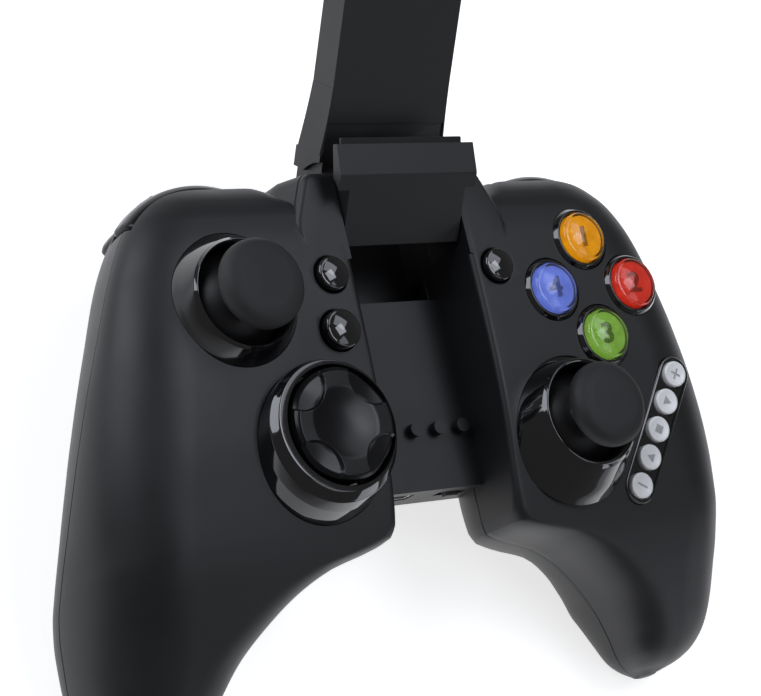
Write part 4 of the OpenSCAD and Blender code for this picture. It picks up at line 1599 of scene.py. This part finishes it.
@dataclass
class Shells:
    """Front and rear shells of the two wings, the bay and the battery hump."""

    shoulder: Shoulder
    sticks: tuple[Stick, Stick]
    pad: DirectionPad
    buttons: FaceButtons
    keys: SmallKeys
    media: MediaRow
    wall: float = 2.2
    half_bay: float = 14.4
    bay: float = -13.5
    seam: float = -15.5
    recess: float = -22.8
    bay_y: Pair = (-32.9, 6.3)
    back_y: float = 29.7
    slab: float = 2.2
    play: float = 0.1
    groove: float = 0.16
    hollow_rows: tuple[int, int] = (1, 16)
    past_seam: float = 2.5
    end_angles: tuple[float, ...] = (82.0, 64.0, 44.0, 22.0)
    tip_reach: float = 0.5
    back_reach: float = 0.9
    block: tuple[Triple, Triple] = ((-13.0, 12.0, -45.0), (32.0, 42.0, 5.0))
    block_arc: Triple = (14.5, -46.0, 6.0)
    post_ease: float = 1.6
    post_fillet: float = 1.5
    post_spread: Pair = (2.6, 0.42)
    lights: tuple[int, ...] = (-2, -1, 0, 1, 2)
    light_y: float = -20.7
    light_step: float = 5.7
    light_hole: tuple[Pair, ...] = ((0, -3), (1.1, -3), (1.1, -0.25), (1.4, 0.01), (1.4, 2), (0, 2))
    light_foot: tuple[Pair, ...] = ((0, -3.4), (1.8, -3.4), (1.8, -2.0), (1.05, -2.0))
    screws: tuple[Triple, ...] = ((58.0, -46.0, -30.5), (25.4, -37.5, -25.5), (20.4, 17.0, -21.5))
    front_bosses: tuple[Triple, ...] = ((3.2, 6.5, 22.2), (3.2, 8.5, 20.5))
    rear_bosses: tuple[Triple, ...] = ((4.2, -6.5, 6.1), (4.2, -4.0, 8.3))
    hinge: Pair = (22.5, -7.0)
    hinge_span: Pair = (-21.0, 21.0)
    pin_r: float = 1.5
    pin_reach: Pair = (-11.0, 13.0)
    lever_room: tuple[Triple, Triple] = ((-5.6, -6.0, -25.5), (7.6, 12.0, -15.1))
    lugs: Pair = (-7.6, 7.8)
    lug_wide: float = 1.8
    battery_room: tuple[Pair, Pair] = ((-20.4, -15.4), (20.4, 3.4))
    board_rise: float = 2.8
    socket_room: tuple[Triple, Triple] = ((-8.7, -36.0, -0.1), (-0.8, -27.0, 3.9))
    switch_room: tuple[Triple, Triple] = ((5.6, -36.0, 0.6), (12.6, -27.0, 3.2))
    hump: tuple[tuple[float, float, float, float], ...] = (
        (-24, 30, 21, 9), (-27, 29.8, 20.8, 9), (-31, 28.8, 19.8, 9), (-35, 27.6, 18.6, 9),
        (-38, 26.4, 17.4, 8.5), (-39.3, 25.8, 16.8, 8), (-39.85, 25.2, 16.2, 7.5), (-40, 24.4, 15.4, 7),
    )

    def sections(self, first: int, last: int, shrink: float) -> tuple[np.ndarray, np.ndarray]:
        """Stations about a millimetre apart between two rows of the wing.

        Args:
            first: Row nearest the shoulders.
            last: Row nearest the grip's tip.
            shrink: Wall that the places draw in by, at both ends.

        Returns:
            The places along y, and one row of station values for each.
        """
        table = np.array([astuple(s) for s in WING])[::-1]
        y0, y1 = WING[last].y, WING[first].y
        at = np.linspace(y0, y1, int(y1 - y0) + 2)
        at = np.unique(np.concatenate([at, table[(table[:, 0] >= y0) & (table[:, 0] <= y1), 0]]))
        rows = glide(table[:, 0], table[:, 1:], at)
        middle = (WING[0].y + WING[-1].y) / 2
        length = WING[0].y - WING[-1].y
        return middle + (at - middle) * (1 - 2 * shrink / length), rows

    def front_outline(self, row: np.ndarray, w: float, drop: float) -> np.ndarray:
        """Upper half of a section, drawn in by w and carried past the seam by drop.

        Args:
            row: Values of a station, without its place.
            w: Wall to draw in by.
            drop: Way past the seam.

        Returns:
            The closed outline of x and z.
        """
        s = Station(0.0, *row)
        inner, outer, top = s.inner + w, s.outer - w, s.top - w
        rx = max(s.edge_across - w, 0.5)
        rz = max(min(s.edge_down, 0.96 * (s.top - s.inner_seam)) - w, 0.5)
        ro = max(s.top_round - w, 1.0)
        tall = top - s.outer_seam
        g = 0.0 if drop else self.groove
        last = math.degrees(math.asin(min(1.0, g / tall)))
        return np.vstack(
            [
                [inner + g, s.inner_seam - drop],
                run((inner, s.inner_seam - drop + g), (inner, top - rz), 6),
                swell(inner + rx, top - rz, rx, rz, 14),
                run((inner + rx, top), (outer - ro, top), 18),
                bow(outer - ro, s.outer_seam, ro, tall, 90, last, 30),
                [outer - g, s.outer_seam - drop],
            ]
        )

    def rear_outline(self, row: np.ndarray, w: float, lift: float) -> np.ndarray:
        """Lower half of a section, drawn in by w and carried past the seam by lift.

        Args:
            row: Values of a station, without its place.
            w: Wall to draw in by.
            lift: Way past the seam.

        Returns:
            The closed outline of x and z.
        """
        s = Station(0.0, *row)
        inner, outer, bottom = s.inner + w, s.outer - w, s.bottom + w
        ro, ri = max(s.bottom_round - w, 1.0), max(s.inner_round - w, 1.0)
        g = 0.0 if lift else self.groove
        first = -math.degrees(math.asin(min(1.0, g / (s.outer_seam - bottom))))
        last = -180 + math.degrees(math.asin(min(1.0, g / (s.inner_seam - bottom))))
        return np.vstack(
            [
                [outer - g, s.outer_seam + lift],
                bow(outer - ro, s.outer_seam, ro, s.outer_seam - bottom, first, -90, 30),
                run((outer - ro, bottom), (inner + ri, bottom), 12),
                bow(inner + ri, s.inner_seam, ri, s.inner_seam - bottom, -90, last, 24),
                [inner + g, s.inner_seam + lift],
            ]
        )

    def solid(self, name: str, outline: Outline) -> Piece:
        """Right half-wing before it is hollowed, rounded off at both ends.

        Args:
            name: Name of the piece.
            outline: Section function of the upper or the lower half.

        Returns:
            The new solid.
        """
        y, rows = self.sections(0, len(WING) - 1, 0.0)
        skin = [np.insert(outline(row, 0.0, 0.0), 1, place, axis=1) for place, row in zip(y, rows)]
        tip, back = self._cap(skin, -self.tip_reach), self._cap(skin[::-1], self.back_reach)[::-1]
        return loft(name, np.array(tip + skin + back))

    def wing(self, name: str, outline: Outline) -> Piece:
        """Hollow right half-wing.

        Args:
            name: Name of the piece.
            outline: Section function of the upper or the lower half.

        Returns:
            The half-wing with its hollow cut out.
        """
        made = self.solid(name, outline)
        y, rows = self.sections(*self.hollow_rows, self.wall)
        sections = [outline(row, self.wall, self.past_seam) for row in rows]
        inside = [np.insert(section, 1, place, axis=1) for place, section in zip(y, sections)]
        hollow = loft("hollow", np.array(inside))
        x, arc_y = self.shoulder.at
        block = box_tool("block", *(np.array(self.block) + [x, 0.0, 0.0]))
        combine(block, [drum("arc", (x, arc_y), *self.block_arc)], Cut.AWAY)
        combine(hollow, [block], Cut.AWAY)
        return combine(made, [hollow], Cut.AWAY)

    def _cap(self, rows: list[np.ndarray], reach: float) -> list[np.ndarray]:
        """Rows that round off an end, from the outermost to the first of the given rows.

        Args:
            rows: Sections, the end's own first.
            reach: Way past the end, with its sign along y.

        Returns:
            The added rows.
        """
        end = rows[0]
        middle = (end[0] + end[-1]) / 2
        made = []
        for a in np.radians(self.end_angles):
            ring = middle + (end - middle) * math.cos(a)
            ring[:, 1] = end[0, 1] + reach * math.sin(a)
            made.append(ring)
        return made

    def _spread(self, z: float) -> float:
        """Width that a post gains at a height."""
        most, slope = self.post_spread
        return min(most, (-1 - z) * slope)

    def post(self, low: float, high: float, top_edge: bool) -> Piece:
        """Right-hand post beside the holder, wider towards its foot.

        Args:
            low: Height of the foot.
            high: Height of the top.
            top_edge: True for a rounded top.

        Returns:
            The post.
        """
        inner, back_y, fillet = self.half_bay + 0.02, self.back_y, self.post_fillet
        corners = [
            (inner, 11.0), (25.4, 11.0), (25.4, 19.5), (21.4, 28.6), (20.0, back_y), (inner + 0.6, back_y),
            (inner, 29.0),
        ]
        outline = rounded(corners, self.post_ease, 6)
        side = np.clip((outline[:, 0] - inner - 1.0) / 4.0, 0, 1)
        back = np.clip((outline[:, 1] - 24.0) / 5.0, 0, 1)
        rows = [(z, self._spread(z), 0.0) for z in np.linspace(low, -1.6, 12) if z < high]
        if top_edge:
            for a in np.radians(np.linspace(0, 90, 8)):
                rows.append((high - fillet + fillet * math.sin(a), 0.0, fillet * (1 - math.cos(a))))
        else:
            rows.append((high, self._spread(high), 0.0))
        made = []
        for z, grow, ease in rows:
            edge = inset(outline, ease) if ease else outline
            flat = np.where(outline[:, 0] < inner + 0.4, inner, edge[:, 0])
            x = flat + side * grow
            y = np.where(outline[:, 1] < 12.5, outline[:, 1], edge[:, 1]) + back * grow * 0.15
            made.append(np.column_stack([x, y, np.full(len(x), z)]))
        return loft("post", np.array(made))

    def both(self, half: Piece) -> list[Piece]:
        """A right-hand tool and its mirror image."""
        return [half, mirrored(half, half.name + "_twin")]

    def rods(self, radius: float, low: float, high: float, only: Sequence[int] = (0, 1, 2)) -> list[Piece]:
        """Round tools at the case screws, with heights measured from each screw's head.

        Args:
            radius: Radius of the tools.
            low: Lower end.
            high: Upper end.
            only: Numbers of the pairs of screws.

        Returns:
            Two tools for each pair.
        """
        made = []
        for k in only:
            x, y, head = self.screws[k]
            foot, top = head + low, head + high
            for side in (-1, 1):
                made.append(drum(f"rod_{k}_{side}", (side * x, y), radius, foot, top, ROD_SIDES))
        return made

    def bosses(self, sizes: Sequence[Triple]) -> list[Piece]:
        """Screw bosses of the grips, one size for each pair."""
        return [boss for k, size in enumerate(sizes) for boss in self.rods(*size, only=(k,))]

    def build_front(self) -> Piece:
        """Front shell with its bay, posts and holes.

        Returns:
            The shell.
        """
        right = self.wing("front_shell_skin", self.front_outline)
        left = mirrored(right, "left_half")
        reach = self.half_bay + 1
        plate = box_tool("plate", (-reach, self.bay_y[0], self.seam), (reach, self.bay_y[1], self.bay))
        post = combine(self.post(-14.0, -0.02, True), [self.solid("rear_wing", self.rear_outline)], Cut.AWAY)
        combine(right, [left, plate, *self.both(post)], Cut.ADD)
        combine(right, self.bosses(self.front_bosses), Cut.ADD)
        tools = self.keys.tools()
        play, pad = self.play, self.pad
        for stick in self.sticks:
            tools += [stick.skirt_tool(play), drum("well", stick.at, stick.seat[0] + play, -12, 2)]
        tools += [pad.skirt_tool(play), drum("pad_well", pad.at, pad.seat[0] + play, -12, 2)]
        tools.append(self.media.tool())
        tools += [drum("button", at, self.buttons.collar + play, -8, 4) for at in self.buttons.places()]
        tools += self.both(self.shoulder.pocket("bumper_pocket", *self.shoulder.bumper_room))
        tools += [rod("hinge", self.hinge, self.pin_r, self.hinge_span), *self.rods(1.1, 0, 13)]
        combine(right, tools, Cut.AWAY)
        lights = [self._light(f"light_{k}", self.light_hole, k) for k in self.lights]
        return soften(combine(right, lights, Cut.AWAY), 34)

    def _light(self, name: str, profile: Sequence[Pair], k: int) -> Piece:
        """Round piece or cutter at one of the bay lights."""
        at = (k * self.light_step, self.light_y, self.bay)
        return turned(name, np.array(profile), at, steps=48)

    def build_rear(self) -> Piece:
        """Rear shell with its hump, tray, trigger slots and screw wells.

        Returns:
            The shell.
        """
        shoulder = self.shoulder
        right = self.wing("rear_shell_skin", self.rear_outline)
        left = mirrored(right, "left_half")
        combine(right, [left, self._hump(), *self._tray()], Cut.ADD)
        front = self.solid("front_wing", self.front_outline)
        post = combine(self.post(-25.0, -14.2, False), [front], Cut.AWAY)
        combine(right, [*self.both(post), *self.bosses(self.rear_bosses), *self._lugs()], Cut.ADD)
        tools = self._windows()
        tools += self.both(shoulder.pocket("bumper_pocket", *shoulder.bumper_room))
        tools += self.both(shoulder.pocket("trigger_slot", *shoulder.trigger_room))
        x, y = shoulder.at[0], shoulder.pin[0]
        tools += self.both(box_tool("lever_way", *(np.array(self.lever_room) + [x, y, 0.0])))
        span = (x + self.pin_reach[0], x + self.pin_reach[1])
        tools += self.both(rod("pin_bore", shoulder.pin, self.pin_r, span))
        tools += self.rods(1.5, -0.1, 20) + self.rods(3.1, -20, 0)
        return soften(combine(right, tools, Cut.AWAY), 34)

    def _windows(self) -> list[Piece]:
        """Rooms of the battery, the holder's foot, the socket and the switch.

        Returns:
            One cutter for each.
        """
        (x0, y0), (x1, y1) = self.battery_room
        board = np.array([0.0, 0.0, self.recess + self.board_rise])
        low, high = (-self.half_bay, self.bay_y[1], self.recess), (self.half_bay, 40, 8)
        return [
            box_tool("battery_well", (x0, y0, self.wall - FACE_H), (x1, y1, self.recess + 1)),
            box_tool("holder_recess", low, high),
            box_tool("socket_window", *(np.array(self.socket_room) + board)),
            box_tool("switch_window", *(np.array(self.switch_room) + board)),
        ]

    def _hump(self) -> Piece:
        """Soft-edged hump with a flat foot.

        Returns:
            The hump.
        """
        rows = []
        for z, x, y, r in self.hump:
            ring = rounded([(-x, -y), (x, -y), (x, y), (-x, y)], r, 10)
            rows.append(np.column_stack([ring, np.full(len(ring), z)]))
        return loft("hump", np.array(rows))

    def _tray(self) -> list[Piece]:
        """Floor and two cross walls between the wings.

        Returns:
            The three walls.
        """
        wide, low = self.half_bay - 0.02, self.recess - 0.1
        front, step = self.bay_y[0], self.bay_y[1] - self.slab
        return [
            box_tool("tray", (-22, front, self.recess - self.slab), (22, self.back_y, self.recess)),
            box_tool("front_wall", (-wide - 1, front, low), (wide + 1, front + self.slab, self.seam)),
            box_tool("step_wall", (-wide - 1, step, low), (wide + 1, step + self.slab, self.seam)),
        ]

    def _lugs(self) -> list[Piece]:
        """Lugs that hold the trigger pins.

        Returns:
            Two lugs for each trigger.
        """
        x, y = self.shoulder.at[0], self.shoulder.pin[0]
        made = []
        for d in self.lugs:
            made.append(box_tool("lug", (x + d, y - 2.5, -27), (x + d + self.lug_wide, y + 2.5, -16)))
        return made + [mirrored(m, m.name + "_twin") for m in made]

    def build(self, wardrobe: Wardrobe, palette: Palette) -> None:
        """Makes both shells and the light guides.

        Args:
            wardrobe: Makes the finishes and puts them on.
            palette: The finishes to choose from.
        """
        wardrobe.dress(self.build_front(), palette.body, "housing", ["front_shell"])
        wardrobe.dress(self.build_rear(), palette.body, "housing", ["rear_shell"])
        lens = np.vstack([self.light_foot, bow(0, -0.75, 1.05, 0.35, 0, 90, 6)])
        guides = [self._light(f"guide_{k}", lens, k) for k in self.lights]
        row = combine(guides[0], guides[1:], Cut.ADD)
        row.name = "light_guide_row"
        wardrobe.dress(soften(row, 40), palette.guide, "housing", ["light_pipes"])


@dataclass
class KeptSolids:
    """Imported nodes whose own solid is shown, with a finish and eased edges."""

    holder: dict[str, float] = field(
        default_factory=lambda: {"holder_base": 0.35, "holder_rail": 0.45, "slider": 0.45}
    )
    pads: tuple[str, ...] = ("lip_pad", "hook_pad")
    metal: tuple[str, ...] = (
        "case_screws", "holder_screws", "hinge_pin", "left_trigger_pin", "right_trigger_pin",
        "left_trigger_spring", "right_trigger_spring", "slider_spring", "usb_socket",
    )
    boards: tuple[str, ...] = ("left_board", "right_board", "main_board")
    domes: tuple[str, ...] = ("face_membrane", "dpad_membrane")
    inner: tuple[str, ...] = (
        "left_stick_module", "right_stick_module", "left_stick_yoke", "right_stick_yoke", "dpad_pivot",
        "switch_knob",
    )

    def build(self, nodes: dict[str, Piece], wardrobe: Wardrobe, palette: Palette) -> None:
        """Dresses every node that isn't replaced.

        Args:
            nodes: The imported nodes' objects by name.
            wardrobe: Makes the finishes and puts them on.
            palette: The finishes to choose from.
        """
        for name, ease in self.holder.items():
            wardrobe.refinish(nodes[name], palette.holder, ease)
        groups = (
            (self.pads, palette.pad, 0.2),
            (self.metal, palette.steel, 0.06),
            (self.boards, palette.board, 0.1),
            (self.domes, palette.silicone, 0.15),
            (self.inner, palette.inner, 0.12),
            (("battery",), palette.foil, 0.6),
        )
        for names, finish, ease in groups:
            for name in names:
                wardrobe.refinish(nodes[name], finish, ease)


@dataclass
class HolderFoot:
    """Two flares that carry the rail's sides down into the cheeks of the holder's base."""

    lean: float = 36.0
    origin: Triple = (0.0, 36.4, 0.2)
    rail: float = 28.0
    cheek: float = 0.97
    deep: Pair = (8.7, 7.2)
    reach: Pair = (-3.75, 10.0)
    thin: float = 0.03
    fade: float = 1.7
    round_share: float = 0.4
    gap: float = 0.02
    steps: int = 14

    def build(self, wardrobe: Wardrobe, palette: Palette) -> None:
        """Makes both flares.

        Args:
            wardrobe: Makes the finishes and puts them on.
            palette: The finishes to choose from.
        """
        for side in Side:
            flare = loft(f"{side.word}_rail_flare", self._rows(side))
            wardrobe.dress(soften(flare, 30), palette.holder, "holder")

    def _rows(self, side: Side) -> np.ndarray:
        """Sections up one side of the rail.

        Args:
            side: The side that the flare stands on.

        Returns:
            Points as sections by points by three.
        """
        turn = math.radians(self.lean)
        c, s = math.cos(turn), math.sin(turn)
        rows = []
        for share in np.linspace(0, 1, self.steps):
            wide = self.thin + self.cheek * (1 - share) ** self.fade
            low = self.deep[0] + (self.deep[1] - self.deep[0]) * share
            ease = self.round_share * wide
            out = np.array([0, wide - ease, wide, wide, wide - ease, 0])
            up = np.array([-low, -low, ease - low, -ease, 0, 0])
            along = self.reach[0] + (self.reach[1] - self.reach[0]) * share
            x = side.value * (self.rail / 2 + self.gap + out)
            y, z = along * c - up * s, along * s + up * c
            rows.append(np.column_stack([x, y, z]) + self.origin)
        return np.array(rows)


@dataclass(frozen=True)
class Softbox:
    """One studio light, in metres."""

    name: str
    at: Triple
    aim: Triple
    size: Pair
    watts: float
    colour: Colour = (0.93, 0.97, 1.07)


@dataclass
class Studio:
    """Pale floor, soft lights and the camera at the picture's angle."""

    eye: Triple = (-0.2841, -0.1081, 0.4148)
    ahead: Triple = (0.573, 0.214, -0.791)
    upward: Triple = (0.061, 0.952, 0.301)
    lens: float = 116.5
    sensor: float = 36.0
    floor_half: float = 4.0
    lights: tuple[Softbox, ...] = (
        Softbox("left_panel", (-0.81, 0.68, 0.57), (0.0, 0.0, 0.03), (0.8, 0.9), 7.0),
        Softbox("top_box", (0.35, 0.16, 1.19), (0.0, 0.0, 0.0), (0.45, 0.45), 2.1),
        Softbox("back_right_box", (0.4, 0.47, 1.02), (0.0, 0.0, 0.0), (0.55, 0.55), 1.6),
        Softbox("front_right_box", (0.38, -0.47, 1.04), (0.0, 0.0, 0.0), (0.5, 0.5), 0.9),
        Softbox("right_box", (0.9, -0.75, 0.3), (0.0, 0.0, 0.02), (0.5, 0.4), 1.0),
    )
    room: float = 0.13
    # painted pool of light: distances in metres over which the floor's glow and paleness fade out
    pool: Pair = (0.17, 0.45)
    # painted glow of the floor, near the middle and far out
    shine: Pair = (0.72, 0.1)
    # floor greys: two near the middle mixed by clouds, and a darker one far out
    sheet: Triple = (0.88, 0.9, 0.72)

    def build(self) -> None:
        """Makes the camera, the floor, the lights and the room's own glow."""
        self._camera()
        self._floor()
        for box in self.lights:
            self._light(box)
        world = bpy.data.worlds.new("room")
        world.use_nodes = True
        glow = world.node_tree.nodes["Background"]
        glow.inputs["Color"].default_value = (1.0, 1.0, 1.0, 1.0)
        glow.inputs["Strength"].default_value = self.room
        bpy.context.scene.world = world
        bpy.context.scene.view_settings.view_transform = "Standard"

    def _camera(self) -> None:
        """Camera at the picture's place and tilt."""
        ahead = Vector(self.ahead).normalized()
        right = ahead.cross(Vector(self.upward)).normalized()
        up = right.cross(ahead)
        data = bpy.data.cameras.new("camera")
        data.lens = self.lens
        data.sensor_width = self.sensor
        data.clip_start = 0.01
        made = bpy.data.objects.new("camera", data)
        turn = Matrix((right, up, -ahead)).transposed().to_4x4()
        made.matrix_world = Matrix.Translation(self.eye) @ turn
        bpy.context.scene.collection.objects.link(made)
        bpy.context.scene.camera = made

    def _floor(self) -> None:
        """Wide pale sheet under the controller, with a painted pool of light: it glows and is paler near the
        middle, dimmer and darker farther out.
        """
        h = self.floor_half
        mesh = bpy.data.meshes.new("floor")
        mesh.from_pydata([(-h, -h, 0), (h, -h, 0), (h, h, 0), (-h, h, 0)], [], [(0, 1, 2, 3)])
        made = bpy.data.objects.new("floor", mesh)
        bpy.context.scene.collection.objects.link(made)
        g = Graph("pale_sheet")
        cloud = g.limits(g.noise(60.0), 0.3, 0.7)
        # painted pool of light: the floor glows and is paler near the middle, fading with distance
        distance = g.node("ShaderNodeVectorMath", {"operation": "LENGTH"}, {0: g.place()}, out="Value")
        away = g.limits(distance, *self.pool)
        dull, pale, far = ((grey,) * 3 for grey in self.sheet)
        near = g.blend(cloud, dull, pale)
        shine = g.blend(away, *((grey,) * 3 for grey in self.shine))
        mesh.materials.append(
            g.close(
                {
                    "Base Color": g.blend(away, near, far),
                    "Roughness": 0.8,
                    "Specular IOR Level": 0.0,
                    "Emission Color": shine,
                    "Emission Strength": 1.0,
                }
            )
        )

    @staticmethod
    def _light(box: Softbox) -> None:
        """One rectangular area light.

        Args:
            box: The light's place, size and strength.
        """
        data = bpy.data.lights.new(box.name, "AREA")
        data.shape = "RECTANGLE"
        data.size, data.size_y = box.size
        data.energy = box.watts
        data.color = box.colour
        made = bpy.data.objects.new(box.name, data)
        made.location = box.at
        made.rotation_mode = "QUATERNION"
        made.rotation_quaternion = (Vector(box.aim) - Vector(box.at)).to_track_quat("-Z", "Y")
        bpy.context.scene.collection.objects.link(made)


def main() -> None:
    """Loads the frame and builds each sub-assembly in order."""
    logging.basicConfig(level=logging.INFO, format="%(name)s: %(message)s")
    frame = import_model()
    wardrobe, palette = Wardrobe(), Palette()
    Studio().build()
    joints = frame["joints"]
    sticks = (
        Stick(Side.LEFT, (0.0, 0.0), trim=0.5).settle(joints),
        Stick(Side.RIGHT, (0.1, 0.3)).settle(joints),
    )
    pad = DirectionPad().settle(joints)
    buttons, keys, media = FaceButtons(), SmallKeys(), MediaRow().settle(joints)
    shoulder = Shoulder()
    Shells(shoulder, sticks, pad, buttons, keys, media).build(wardrobe, palette)
    for group in (*sticks, pad, buttons, keys, media, shoulder, HolderFoot()):
        group.build(wardrobe, palette)
    KeptSolids().build(frame["nodes"], wardrobe, palette)


if __name__ == "__main__":
    main()
